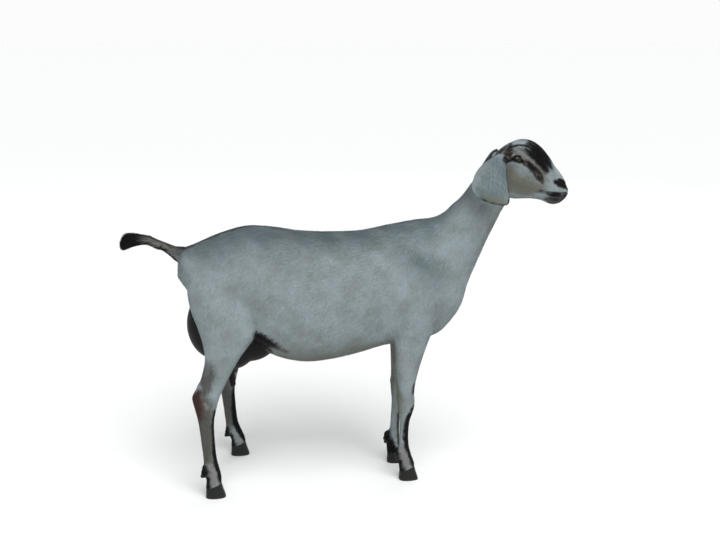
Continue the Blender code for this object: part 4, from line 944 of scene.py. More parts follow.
# Brings points of both sides to the plain stance on one side, where every field below is given. It also
# says how far, in radians, an ear's points are swung about its root.
def plainPlace(points):
    x, y, z = points.T
    out = np.abs(y)
    left = (y > 0).astype(float)
    fore = np.interp(z, *zip(*stride["fore_left"])) * smoothStep(x, *leftLimbs["fore"])
    hind = np.interp(z, *zip(*stride["hind_left"])) * smoothStep(-x, *leftLimbs["hind"])
    x = x - left * smoothStep(-z, *leftLimbs["below"]) * (fore + hind)
    swing, spread = earForm["hang"]["left"]
    rootX, rootZ = earForm["rootAt"]
    earX, earZ = leftLimbs["ear"]
    isEar = left * smoothStep(out, *leftLimbs["earOut"]) * (x > earX) * (z > earZ)
    angle = math.radians(swing) * isEar
    ahead, above = x - rootX, z - rootZ
    px = rootX + ahead * np.cos(angle) + above * np.sin(angle)
    pz = rootZ - ahead * np.sin(angle) + above * np.cos(angle)
    rootOut = ear["root"][3]
    po = out + isEar * (rootOut + (out - rootOut) / spread - out)
    return np.stack([px, po, pz], axis=1), angle


# The lie at each point: direction, and length, width, depth in metres and tufts to the square metre
def lieAt(points):
    places = np.array([row[0] for row in lie.values()]) / 1000
    ways = unit(np.array([row[1] for row in lie.values()]))
    numbers = np.array([row[2:] for row in lie.values()]) * (1e-3, 1e-3, 1e-3, 1e4)
    plain, angle = plainPlace(points)
    way, number = np.empty_like(points), np.empty((len(points), 4))
    for start in range(0, len(points), lieBlend["chunk"]):
        part = slice(start, start + lieBlend["chunk"])
        square = ((plain[part, None, :] - places[None]) ** 2).sum(axis=2)
        weight = 1 / (square + lieBlend["near"]) ** lieBlend["power"]
        weight /= weight.sum(axis=1, keepdims=True)
        way[part], number[part] = weight @ ways, weight @ numbers
    way[:, 1] *= np.where(points[:, 1] > 0, 1, -1)
    c, s = np.cos(angle), np.sin(angle)
    turned = np.stack([way[:, 0] * c - way[:, 2] * s, way[:, 1], way[:, 0] * s + way[:, 2] * c], axis=1)
    return unit(turned), number


# Skin

skinForm = {
    "bodyVoxel": 0.0040,
    "headVoxel": 0.0012,
    "bodyTriangles": 96000,
    "headTriangles": 88000,
    "bodyRounds": 8,       # of smoothing
    "headRounds": 26,
    "softRounds": 110,     # more of them on the trunk
    "lastRounds": 2,       # after the swellings
    # scales of the neck's last rings where body and head overlap
    "bodyNeck": (1.01, 0.96),
    "headNeck": (0.88, 0.98, 1.015, 1.0),
    "seamAngle": 1.15,     # of the unwrap, in radians
    "seamGap": 0.002,
}


# The shapes fused, evened, given muscle and bone, and drawn in by the coat's depth
def makeFlesh(name, pieces, tables, softRounds):
    piece = fused(name, pieces, skinForm[f"{name}Voxel"])
    mesh = piece.data
    edges = read(mesh.edges, "vertices", 2, np.int32)
    points = relaxed(pointsOf(mesh), edges, skinForm[f"{name}Rounds"])
    if softRounds:
        points = relaxed(points, edges, softRounds, trunkShare(points))
    setPoints(mesh, points)
    normals = normalsOf(mesh)
    for table, mirrored in tables:
        points = swollen(points, normals, table, mirrored)
    points = legSwollen(points, normals)
    points = relaxed(points, edges, skinForm["lastRounds"])
    setPoints(mesh, points)
    depth = lieAt(points)[1][:, 2]
    setPoints(mesh, points - normalsOf(mesh) * depth[:, None])
    return keepLargest(thinned(piece, skinForm[f"{name}Triangles"]))


def makeBody():
    rows = trunkRows(trunk)[:-1]
    rows[-2:] = [scaledRow(row, scale) for row, scale in zip(rows[-2:], skinForm["bodyNeck"])]
    shapes = [loft("trunk", rows, sides=64), loft("dock", dockRows())]
    for label, side in sideSign.items():
        shapes.append(loft("fore", legRows(foreLeg, f"fore_{label}"), side=side))
        shapes.append(loft("hind", legRows(hindLeg, f"hind_{label}"), side=side))
        shapes += [ellipsoid("udder", *lobe, side=side) for lobe in udder.values()]
        for foot in ("fore", "hind"):
            x, out, z = dewclaws["place"][foot]
            (ahead, above), radii = dewclaws["mound"]
            x += strideShift(f"{foot}_{label}", z) + ahead
            for way in (-1, 1):
                place = (x, claws["footOut"][foot] + way * out, z + above)
                shapes.append(ellipsoid("mound", place, radii, side=side))
        top, tip = np.array(teat["top"]), np.array(teat["tip"])
        path = [(top + (tip - top) * share) * (1, side, 1) for share, _ in teat["radii"]]
        shapes.append(tube("teat", path, [radius for _, radius in teat["radii"]]))
    tables = ((bodySwellings, True), (midlineSwellings, False), (ribTable(), True))
    body = makeFlesh("body", shapes, tables, skinForm["softRounds"])
    for foot in ("fore", "hind"):
        for label, side in sideSign.items():
            shift = strideShift(f"{foot}_{label}", 0.0)
            combine(body, "DIFFERENCE", [coronetBox(foot, side, shift)])
    return keepLargest(body)


def makeHead():
    rows = trunkRows(trunk)[-4:]
    rows = [scaledRow(row, scale) for row, scale in zip(rows, skinForm["headNeck"])]
    shapes = [loft("skull", trunkRows(skull)), loft("neck end", rows)]
    for label, side in sideSign.items():
        shapes += [earLeaf(label), ellipsoid("bulb", *earForm["bulb"], side=side)]
    tables = ((bodySwellings, True), (midlineSwellings, False), (headFolds, True), (middleFolds, False))
    head = makeFlesh("head", shapes, tables, 0)
    combine(head, "DIFFERENCE", [mouthCutter()])
    for side in (-1, 1):
        combine(head, "DIFFERENCE", [nostrilCutter(side)])
        combine(head, "UNION", [lidRim(side)])
        socket = ellipsoid("socket", eyes["centre"], [eyes["radius"] + eyes["gap"]] * 3, side=side)
        combine(head, "DIFFERENCE", [socket, eyeOpening(side)])
    return keepLargest(head)


def makeSkin():
    body = makeBody()
    report("body fused")
    head = makeHead()
    report("head fused")
    skin = keepLargest(combine(body, "UNION", [head]))
    skin.name = "skin"
    skin.data.shade_smooth()
    work = bmesh.new()
    work.from_mesh(skin.data)
    openEdges = sum(1 for edge in work.edges if not edge.is_manifold)
    work.free()
    report(f"skin joined, {len(skin.data.polygons)} triangles, {openEdges} open edges")
    return skin


skin = makeSkin()


# Unwraps the skin's own shape, once for the skin and for the roots of its coat
def unwrapped(piece):
    bpy.context.view_layer.objects.active = piece
    piece.select_set(True)
    bpy.ops.object.mode_set(mode="EDIT")
    bpy.ops.mesh.select_all(action="SELECT")
    bpy.ops.uv.smart_project(angle_limit=skinForm["seamAngle"], island_margin=skinForm["seamGap"])
    bpy.ops.object.mode_set(mode="OBJECT")
    piece.data.uv_layers[0].name = "OFBake"
    piece.select_set(False)


unwrapped(skin)
report("skin unwrapped")


# Markings

# Soft strokes over the skin in the plain stance, alike on both sides, in mm: softness of the edge, then
# points (x, out, z, radius). Most are the coat's own colours; some are painted light and painted shade.
markings = {
    "slate": {
        "back": (50, ((-500, 0, 700, 45), (-400, 0, 740, 95), (-330, 0, 760, 95), (-80, 0, 740, 85),
                      (160, 0, 770, 80), (300, 0, 870, 20), (370, 0, 960, 16))),
        "shoulder blade": (50, ((130, 100, 710, 30), (205, 125, 650, 30))),
        "ear": (12, ((385, 88, 945, 34), (360, 128, 890, 50), (378, 138, 850, 36))),
    },
    "olive": {
        # belly: olive hair drawn darker, partly painted shade under the barrel
        "belly": (60, ((-300, 0, 400, 100), (-80, 0, 360, 165), (100, 0, 390, 100))),
        "cheek": (13, ((420, 50, 918, 20), (440, 42, 885, 34), (478, 30, 868, 28), (515, 30, 868, 14))),
        "throat": (30, ((430, 0, 840, 20), (400, 20, 770, 16), (360, 30, 700, 12))),
        "ear low": (12, ((340, 122, 862, 10), (385, 124, 846, 10))),
        "back of knee": (12, ((98, 78, 330, 10), (104, 75, 270, 23), (110, 75, 228, 17))),
    },
    "smoke": {
        "gaskin": (14, ((-425, 146, 398, 8), (-429, 149, 370, 17), (-438, 148, 345, 16),
                        (-446, 148, 315, 12))),
        "hind cannon": (14, ((-448, 148, 288, 24), (-452, 143, 250, 30), (-448, 143, 180, 30),
                             (-446, 145, 118, 24))),
        "face": (6, ((438, 46, 978, 10), (462, 48, 970, 14), (490, 44, 948, 18), (518, 38, 920, 16))),
        "chin": (6, ((540, 20, 834, 10), (558, 18, 829, 18), (578, 10, 832, 18))),
        "dock": (10, ((-500, 0, 690, 20), (-560, 0, 708, 26), (-650, 0, 728, 30))),
    },
    "paleAndPaintedLight": {
        "poll": (4, ((440, 0, 1003, 8), (446, 18, 1000, 9.5), (461, 24, 999, 9), (474, 24, 998, 7))),
        # chest and forearm: painted light, lighter where the light from the front falls; poll and bridge
        # are pale hair
        "chest": (40, ((285, 50, 610, 20), (268, 50, 530, 24))),
        "forearm": (26, ((120, 105, 440, 10), (128, 92, 370, 14), (134, 85, 320, 8))),
        "bridge": (10, ((558, 0, 926, 14), (566, 8, 912, 17), (577, 10, 896, 10))),
    },
    "mauve": {
        "stripe over the eye": (3.5, ((435, 40, 983.5, 4), (443, 47, 977, 6), (457, 50.5, 967.5, 6.8),
                                      (470, 49, 958, 6), (494, 44.5, 938.5, 1.8), (518, 38.5, 913, 2.6),
                                      (534, 34, 890, 5))),
        "fore pastern": (6, ((120, 82, 112, 7), (122, 82, 94, 10), (126, 83, 73, 12),
                             (133, 82, 55, 12))),
        "hind pastern": (6, ((-436, 163, 104, 9), (-432.5, 165, 74, 12), (-431, 166, 53, 12))),
        "tail side": (4, ((-530, 14, 697, 4), (-556, 12, 708, 4), (-585, 11, 722, 3.4),
                          (-605, 9, 727, 2.4))),
        "hock spot": (6, ((-444, 158, 288, 7), (-441, 158, 277, 6))),
    },
    "russet": {
        "hock": (10, ((-462, 146, 320, 10), (-473, 144, 300, 22), (-470, 146, 276, 19),
                      (-463, 148, 250, 12))),
        "gaskin rear": (16, ((-446, 132, 392, 8), (-456, 134, 352, 10))),
    },
    "brown": {
        "behind the eye": (4, ((401, 64, 954, 11.5), (412, 50, 962, 15), (418, 38, 975, 14.5),
                               (425, 27, 987, 9))),
        "poll side": (6, ((386, 22, 956, 6), (401, 14, 973, 9), (416, 12, 986, 10))),
        "eye to mouth": (4, ((453, 50, 948, 5), (463, 50, 942.5, 6.8), (477, 47, 933.5, 8.8),
                             (489, 44, 924, 10.8), (501, 40, 912, 12), (512, 35, 899, 10.5),
                             (520.5, 32, 886, 6))),
        # flank: a brown patch in front of the udder, partly painted shade of the fold in front of the
        # thigh
        "flank": (12, ((-300, 100, 455, 34), (-262, 130, 458, 20), (-236, 132, 442, 13),
                       (-214, 130, 428, 6))),
        "loin line": (9, ((-500, 0, 712, 17), (-400, 0, 745, 16), (-310, 0, 772, 12), (-80, 0, 751, 9),
                          (155, 0, 784, 8), (266, 0, 824, 6), (322, 0, 888, 6), (378, 0, 962, 7),
                          (410, 0, 990, 10))),
        "tail top": (4, ((-500, 0, 714, 12), (-556, 0, 726, 11), (-590, 0, 738, 8),
                         (-620, 0, 744, 10))),
    },
    # Black hair and skin, and painted shade in folds, between the legs and at the ears' edges
    "blackAndShade": {
        "forehead": (5, ((495, 0, 998, 16), (512, 0, 988, 22), (530, 0, 970, 20), (543, 0, 951, 12))),
        "forehead side": (5, ((486, 16, 1000, 10), (503, 19, 986, 16), (524, 17, 967, 16),
                              (540, 13, 947, 10))),
        "face side": (5, ((478, 28, 993.5, 8), (492, 33, 983, 13), (505, 31, 970, 16),
                          (522, 29, 951, 15), (535, 25, 934, 12), (543, 23, 921, 6))),
        "face stripe": (4, ((466, 43, 981.5, 4.5), (484, 43, 966, 9.2), (502, 39.5, 952, 10.8),
                            (520, 36, 932.5, 10), (532, 32, 918, 6))),
        "poll": (4, ((431, 0, 1000, 6), (430, 12, 997, 7), (429, 25.5, 988.5, 6), (443, 32, 991, 5),
                     (456, 35, 991.5, 5), (477, 37, 988, 6))),
        "brow side": (4, ((479, 39, 985.5, 6.5), (486.5, 41, 975.5, 8), (496, 41, 964, 8.5))),
        "below the eye": (4.5, ((464, 50, 949.5, 3), (473.3, 47.6, 943.6, 4.8),
                                (485.8, 44.9, 931.8, 5.8), (494, 42.5, 922.5, 3.4))),
        "behind the eye": (5, ((401, 62, 960, 4), (408, 50, 969, 4))),
        "chin": (6, ((548, 22, 840, 5), (564, 20, 838, 6.5), (580, 16, 839, 8), (588, 0, 839, 8.5))),
        "eye": (2.5, ((410, 55, 953, 3), (420, 54, 955, 5.5), (440, 56, 956, 8.8), (454, 52, 949, 6))),
        "nostril": (3.5, ((557, 31, 885, 7), (568, 29, 882, 10.5), (582, 23, 877, 12.5),
                          (593, 11, 872, 12.5), (597, 0, 868, 12.5))),
        "lips": (4.5, ((509, 32, 863, 3), (530, 30, 856, 5), (545, 27.5, 850, 6.8),
                       (565, 25.5, 848, 7.8), (585, 18.5, 849, 8.5), (596, 0, 850, 9.5))),
        # ear front and ear edge: a dark rim on the ear, partly painted shade where its edge overhangs
        # cheek and neck
        "ear front": (2.5, ((406, 52, 962, 4), (406.4, 64.8, 945.2, 4.6), (406.2, 76.4, 926.8, 5.6),
                            (406.8, 87.3, 904.5, 5.2), (408, 96.8, 883, 5), (409.8, 105.2, 864, 5.6),
                            (409.5, 110.9, 850.2, 6.4), (406, 114.6, 840.5, 7))),
        "ear edge": (3, ((403, 116, 835, 8), (377.4, 118, 835, 7.8), (344, 118, 845, 7.4),
                         (318, 114, 859, 5))),
        "above the knee": (4, ((151, 86, 312, 6), (152, 84, 298, 9.5), (151, 83, 283, 8))),
        "fore shin": (3, ((150, 86, 241, 7), (141.5, 83, 215, 11), (136.5, 79, 194, 12.5),
                          (135, 76, 154, 13.5), (137.5, 74, 112, 12.5), (147, 73, 80, 12),
                          (156, 74, 55, 12))),
        "fore shin inside": (3, ((158, 66, 241, 8), (144, 64, 213, 12), (140, 61, 154, 11.5),
                                 (143, 58, 112, 12), (152, 56, 80, 14), (161, 56, 55, 14))),
        "fore fetlock": (4, ((101, 63, 108, 12), (101, 61, 79, 27.5), (109, 61, 47, 22))),
        "hind shin": (3, ((-420, 150, 264, 6), (-423, 146, 219, 10), (-422, 146, 182, 11.2),
                          (-420.5, 149, 144, 11.8), (-419, 151, 117, 12.8), (-413, 153, 87, 13.8),
                          (-408, 155, 60, 13))),
        "hind shin inside": (3, ((-415, 134, 264, 7), (-420, 134, 219, 13), (-420, 130, 160, 17.5),
                                 (-417, 132, 117, 18.5), (-408, 134, 87, 18), (-402, 137, 56, 16))),
        "hind fetlock": (4, ((-464, 147, 108, 12), (-463, 147, 79, 30), (-458, 147, 48, 24))),
        "fore pastern inside": (5, ((112, 50, 86, 12), (122, 47, 62, 14), (133, 45, 40, 13))),
        "coronets": (4, ((118, 64, 34, 22), (156, 64, 44, 12))),
        "hind coronets": (4, ((-448, 148, 34, 22), (-410, 148, 44, 12))),
        "under the tail": (4, ((-520, 0, 656, 20), (-540, 0, 670, 22), (-570, 0, 692, 21),
                               (-609, 0, 708, 20))),
        "tail end": (5, ((-645, 0, 728, 25), (-700, 0, 715, 50))),
        # flank fold and below the fold: painted shade in the fold between thigh and belly, in front of the
        # udder
        "flank fold": (7, ((-297, 118, 480, 16.5), (-285, 124, 474, 21), (-269, 124, 462, 17.5),
                           (-256, 121, 448, 11))),
        "below the fold": (7, ((-302, 86, 442, 15), (-285, 96, 440, 17), (-268, 98, 429, 14),
                               (-258, 88, 414, 8))),
        # inner thigh and under the seat: painted shade between hind leg and udder, and between the thighs
        "inner thigh": (16, ((-390, 80, 440, 30), (-375, 108, 385, 10), (-395, 116, 330, 7))),
        "under the seat": (14, ((-500, 0, 610, 26), (-480, 0, 560, 40))),
    },
}
# Where bare dark skin shows, and over what distance the coat starts
bareSkin = {
    "lids": (0.0016, 0.0012),      # how far out from the lids' edge
    "nostrils": (0.0014, 0.002),
    "nostrilWidth": 0.0042,
    "lips": (0.0018, 0.0025),
    "teats": (0.020, 0.004),
    "udder": (1.03, 0.08),         # as shares of the udder's own lobes
    "socket": (0.0008, 1.15),      # how far off the globe, and within how much of the almond
    "eyeBox": 0.03,                # how far round an eye its lids are looked for
}


def strokeMask(plain, strokes):
    mask = np.zeros(len(plain))
    for soft, path in strokes.values():
        soft, path = soft / 1000, np.array(path) / 1000
        reach = path[:, 3].max() + 2 * soft
        low, high = path[:, :3].min(axis=0) - reach, path[:, :3].max(axis=0) + reach
        near = ((plain > low) & (plain < high)).all(axis=1)
        here = plain[near]
        best = np.full(len(here), 1e3)
        for a, b in zip(path[:-1], path[1:]):
            along = b[:3] - a[:3]
            t = np.clip((here - a[:3]) @ along / (along @ along), 0, 1)
            gap = np.linalg.norm(here - a[:3] - t[:, None] * along, axis=1) - (a[3] + t * (b[3] - a[3]))
            best = np.minimum(best, gap)
        mask[near] = np.maximum(mask[near], 1 - smoothStep(best, -soft, soft))
    return mask


def nearPath(plain, path):
    path = np.array(path)
    best = np.full(len(plain), 1e3)
    for a, b in zip(path[:-1], path[1:]):
        along = b - a
        t = np.clip((plain - a) @ along / (along @ along), 0, 1)
        best = np.minimum(best, np.linalg.norm(plain - a - t[:, None] * along, axis=1))
    return best


# 1 within the first distance of a row of bareSkin, and 0 beyond it and its soft edge
def bareWithin(distance, name, margin=0.0):
    start, soft = bareSkin[name]
    return 1 - smoothStep(distance, start + margin, start + margin + soft)


def bareMask(points, plain):
    own = np.stack([points[:, 0], np.abs(points[:, 1]), points[:, 2]], axis=1)
    lobes = [np.linalg.norm((own - centre) / radii, axis=1) for centre, radii, _ in udder.values()]
    wing = nearPath(plain, smoothRows(nostril["path"], 3)) - bareSkin["nostrilWidth"]
    mask = np.max([
        bareWithin(np.min(lobes, axis=0), "udder"),
        bareWithin(nearPath(own, (teat["top"], teat["tip"])), "teats"),
        bareWithin(nearPath(plain, smoothRows(mouth["line"], 4)), "lips"),
        bareWithin(wing, "nostrils"),
    ], axis=0)
    off, within = bareSkin["socket"]
    for side in (-1, 1):
        gaze, front, upright = eyeAxes(side)
        spots = points - np.array(eyeCentre(side))
        rim = []
        for t in np.linspace(0, 2 * math.pi, 41):
            flat = almondPoint(front, upright, t)
            deep = math.sqrt(eyes["radius"] ** 2 - flat.length**2)
            rim.append(np.array(eyeCentre(side) + flat + gaze * deep))
        near = (np.abs(spots) < bareSkin["eyeBox"]).all(axis=1)
        lid = np.full(len(points), 1.0)
        lid[near] = nearPath(points[near], rim)
        inside = np.linalg.norm(spots, axis=1) < eyes["radius"] + off
        inside &= (almondShare(spots, front, upright) < within) & (spots @ np.array(gaze) > 0)
        lid[inside] = 0
        mask = np.maximum(mask, bareWithin(lid, "lids", eyes["rim"]))
    return mask


# How hair makes the markings uneven
markEdges = {
    "waves": ((0.016, 0.0016, (1, 2, 3)), (0.006, 0.0008, (4, 5, 6))),  # size, height and seeds
    "strength": (2.0, 1.2, 0.6),       # of the waves, less on the head, share taken off on the shins
    "scatter": (0.0022, 0.0012, 0.4),  # of single tufts, in the same terms
    "head": ((0.34, 0.40), (0.80, 0.84)),  # x and z over which the head starts
    "shins": (-0.34, -0.30),           # -z over which the shins start
    "ears": (0.062, 0.82, 0.29, 0.42),     # least out and z, least and most x
    # size, share and seed of the patches in a marking
    "slate": (0.05, 0.2, 8),
    "olive": (0.07, 0.16, 9),
    "brown": (0.012, 0.25, 10),
    "earStreaks": (0.0060, 0.20, 7),
}


# Every marking at each point
def markedAt(points, scatter=None):
    plain, _ = plainPlace(points)
    x, out, z = plain.T
    headX, headZ = markEdges["head"]
    onHead = smoothStep(x, *headX) * smoothStep(z, *headZ)
    onShin = smoothStep(-z, *markEdges["shins"])

    def calmed(name):
        full, headLess, shinLess = markEdges[name]
        return ((full - headLess * onHead) * (1 - shinLess * onShin))[:, None]

    def patches(name, places=points):
        size, share, seed = markEdges[name]
        return share * ripple(places, size, seed)

    warp = np.zeros_like(points)
    for size, height, seeds in markEdges["waves"]:
        warp += np.stack([ripple(points, size, seed) for seed in seeds], axis=1) * height
    warp *= calmed("strength")
    if scatter is not None:
        warp += scatter * calmed("scatter")
    marks = {name: strokeMask(plain + warp, strokes) for name, strokes in markings.items()}
    leastOut, leastZ, leastX, mostX = markEdges["ears"]
    onEar = (out > leastOut) * (z > leastZ) * (x > leastX) * (x < mostX)
    streaks = patches("earStreaks", plain * (1.0, 1.0, 0.10))
    marks["slate"] *= 0.9 + patches("slate") + onEar * (streaks - 0.05)
    marks["olive"] = marks["olive"] + patches("olive")
    marks["brown"] *= np.clip(1.0 + patches("brown"), 0, 1)
    marks["bare"] = bareMask(points, plain)
    return {name: np.clip(mask, 0, 1) for name, mask in marks.items()}


def setAttribute(mesh, name, values):
    mesh.attributes.new(name, "FLOAT", "POINT").data.foreach_set("value", values.astype(np.float32))


for name, values in markedAt(pointsOf(skin.data)).items():
    setAttribute(skin.data, name, values)
report("skin marked")


# Coat

coat = {
    "seed": 11,
    "fullness": 1.0,       # times the tufts to the square centimetre of the lie
    "patch": 0.0015,       # half a tuft's patch on the unwrap
    "sink": 0.0005,        # of a root under the skin
    "turn": 0.16,          # how far tufts stray sideways, in radians
    "swirls": ((0.030, 0.22, 21), (0.011, 0.12, 22)),  # size, turn in radians and seed
    "length": (0.72, 1.18),     # least and most, times the lie's own
    "width": (0.75, 1.20),
    "lift": (0.55, 1.05),       # of the tips, times the coat's depth
    "strays": 0.05,             # share that stand off further
    "strayLift": (1.2, 1.9),
    "bow": 0.42,                # how far the middle of a tuft rises, times the coat's depth
    "halfWidths": (0.42, 0.50),  # at root and middle
    "lean": (0.28, 0.10, 0.25),  # of the shading: sideways at random, back at the root, ahead at the tip
    "shade": 0.35,              # how far single tufts are lighter or darker
    "shares": (0.0, 0.5, 1.0),  # of the length at root, middle and tip
    "bareEnds": (0.35, 0.8),    # how bare the skin is where hair thins out and where it ends
    "underFoot": (0.049, -0.55),  # soles are bare: height, and how far down they face
    "pieces": ("hindquarters", "rump", "barrel", "chest", "shoulders", "neck", "head"),
}
tailHair = {
    "seed": 12,
    "tufts": 9000,
    "from": -0.556,             # x of the foremost
    # x of the root, length, how far the tips stand off
    "along": ((-0.556, 0.036, 0.0020), (-0.590, 0.048, 0.0048), (-0.616, 0.062, 0.0120),
              (-0.634, 0.048, 0.0090), (-0.646, 0.038, 0.0050), (-0.655, 0.034, 0.0040)),
    "start": (0.060, 0.2),      # distance over which the hair comes in, and its share at the start
    "length": (0.80, 1.05),     # least and most, times that above
    "stand": (0.35, 1.10),
    "width": 0.0017,
    "widths": (0.6, 1.2),
    "turn": 0.10,               # how far hairs stray sideways, in radians
    "droop": 0.008,
    "sink": 0.0008,
    "halfWidths": (0.42, 0.50, 0.36),
    "shares": (0.0, 0.40, 0.75, 1.0),   # of the length at each of these and at the tip
    "rise": 0.8,                # share of the length by which a hair stands off in full
    "lean": 0.35,
    "marked": 0.6,              # share of the length where its marking is read
}


def skinSurface(piece):
    mesh = piece.data
    triangles = read(mesh.loops, "vertex_index", 1, np.int32).reshape(-1, 3)
    points = pointsOf(mesh)
    corners = points[triangles]
    cross = np.cross(corners[:, 1] - corners[:, 0], corners[:, 2] - corners[:, 0])
    return {
        "points": points,
        "triangles": triangles,
        "normals": normalsOf(mesh),
        "uv": read(mesh.uv_layers["OFBake"].uv, "vector", 2).reshape(-1, 3, 2),
        "middle": corners.mean(axis=1),
        "facing": unit(cross),
        "area": np.linalg.norm(cross, axis=1) / 2,
        "tree": BVHTree.FromPolygons(points.tolist(), triangles.tolist()),
    }


# Roots spread evenly over the triangles, count to the square metre given for each
def rootsOn(surface, count, draw):
    total = np.cumsum(surface["area"] * count) + draw.uniform()
    number = np.diff(np.floor(np.concatenate([[0], total]))).astype(int)
    face = np.repeat(np.arange(len(number)), number)
    a, b = draw.uniform(size=(2, len(face)))
    a = np.sqrt(a)
    share = np.stack([1 - a, a * (1 - b), a * b], axis=1)[:, :, None]
    corner = surface["triangles"][face]
    return {
        "face": face,
        "at": (surface["points"][corner] * share).sum(axis=1),
        "normal": unit((surface["normals"][corner] * share).sum(axis=1)),
        "uv": (surface["uv"][face] * share).sum(axis=1),
    }


# The nearest place on the skin to each point, and the way it faces
def laidOn(tree, points):
    found = [tree.find_nearest(p)[:2] for p in points.tolist()]
    at = np.array([f[0] for f in found])
    return at, np.array([f[1] for f in found])


# Tufts from rings of left and right points and a tip: points (tuft, ring, side), tips and their normals
def tuftPiece(name, pairs, tips, pairNormals, tipNormals, uv, attributes, along):
    count, rings = pairs.shape[:2]
    size = 2 * rings + 1
    points = np.concatenate([pairs.reshape(count, -1, 3), tips[:, None]], axis=1)
    normals = np.concatenate([np.repeat(pairNormals, 2, axis=1), tipNormals[:, None]], axis=1)
    pattern = []
    for i in range(rings - 1):
        a = 2 * i
        pattern += [(a, a + 1, a + 2), (a + 1, a + 3, a + 2)]
    pattern.append((size - 3, size - 2, size - 1))
    pattern = np.array(pattern)
    triangles = (np.arange(count)[:, None, None] * size + pattern[None]).reshape(-1, 3)
    piece = triangleObject(name, points.reshape(-1, 3), triangles)
    mesh = piece.data
    patch = []
    for i in range(rings):
        rise = (2 * i / rings - 1) * coat["patch"]
        patch += [(-coat["patch"] * (1 - 0.2 * i), rise), (coat["patch"] * (1 - 0.2 * i), rise)]
    patch = np.array(patch + [(0, coat["patch"])])
    spots = (uv[:, None] + patch[None]).reshape(-1, 2)
    layer = mesh.uv_layers.new(name="OFBake")
    layer.uv.foreach_set("vector", spots[triangles.ravel()].astype(np.float32).ravel())
    for key, values in attributes.items():
        setAttribute(mesh, key, np.repeat(values, size))
    setAttribute(mesh, "along", np.tile(along, count))
    mesh.shade_smooth()
    mesh.normals_split_custom_set_from_vertices(unit(normals.reshape(-1, 3)))
    return piece


# The share of tufts that grow: none on bare skin, between the lips and under the feet
def hairShare(surface):
    middle, facing = surface["middle"], surface["facing"]
    plain, _ = plainPlace(middle)
    inGroove = nearPath(plain, smoothRows(mouth["line"], 4)) < mouth["depth"]
    height, down = coat["underFoot"]
    underFoot = (middle[:, 2] < height) & (facing[:, 2] < down)
    return (1 - smoothStep(bareMask(middle, plain), *coat["bareEnds"])) * ~inGroove * ~underFoot


# Left and right points at so many shares of a tuft's half width, from its middle line
def tuftPairs(centres, across, width, halfWidths):
    pairs = np.empty((len(width), len(halfWidths), 2, 3))
    for ring, half in enumerate(halfWidths):
        offset = across * (width * half)[:, None]
        pairs[:, ring, 0] = centres[ring] + offset
        pairs[:, ring, 1] = centres[ring] - offset
    return pairs


def growCoat(surface):
    draw = np.random.default_rng(coat["seed"])
    ways, numbers = lieAt(surface["middle"])
    roots = rootsOn(surface, numbers[:, 3] * hairShare(surface) * coat["fullness"], draw)
    face, at, normal = roots["face"], roots["at"], roots["normal"]
    length, width, depth = numbers[face, :3].T
    way = ways[face]
    count = len(face)
    way = unit(way - normal * (way * normal).sum(axis=1)[:, None])
    across = np.cross(normal, way)
    turn = coat["turn"] * draw.normal(size=count)
    for size, amount, seed in coat["swirls"]:
        turn += amount * ripple(at, size, seed)
    way = way * np.cos(turn)[:, None] + across * np.sin(turn)[:, None]
    across = np.cross(normal, way)
    length = length * draw.uniform(*coat["length"], count)
    width = width * draw.uniform(*coat["width"], count)
    lift = depth * draw.uniform(*coat["lift"], count)
    stray = draw.uniform(size=count) < coat["strays"]
    lift = np.where(stray, depth * draw.uniform(*coat["strayLift"], count), lift)
    ground, facing = laidOn(surface["tree"], at + way * length[:, None])
    tips = ground + facing * lift[:, None]
    middle = (at + tips) / 2 + normal * (depth * coat["bow"])[:, None]
    pairs = tuftPairs((at - normal * coat["sink"], middle), across, width, coat["halfWidths"])
    aside, back, ahead = coat["lean"]
    lean = across * (aside * draw.normal(size=count))[:, None] - way * back
    pairNormals = np.stack([normal + lean, normal + lean], axis=1)
    tipNormals = facing + lean + way * ahead
    along = np.repeat(coat["shares"], (2, 2, 1))
    report(f"coat laid, {count} tufts")
    marks = markedAt(at, draw.normal(size=(count, 3)))
    marks["shade"] = np.clip(draw.normal(size=count) * coat["shade"], -1, 1)
    order = np.argsort(at[:, 0], kind="stable")
    pieces = []
    for label, part in zip(coat["pieces"], np.array_split(order, len(coat["pieces"]))):
        chosen = {key: values[part] for key, values in marks.items()}
        pieces.append(tuftPiece(f"coat_{label}", pairs[part], tips[part], pairNormals[part],
                                tipNormals[part], roots["uv"][part], chosen, along))
    return pieces


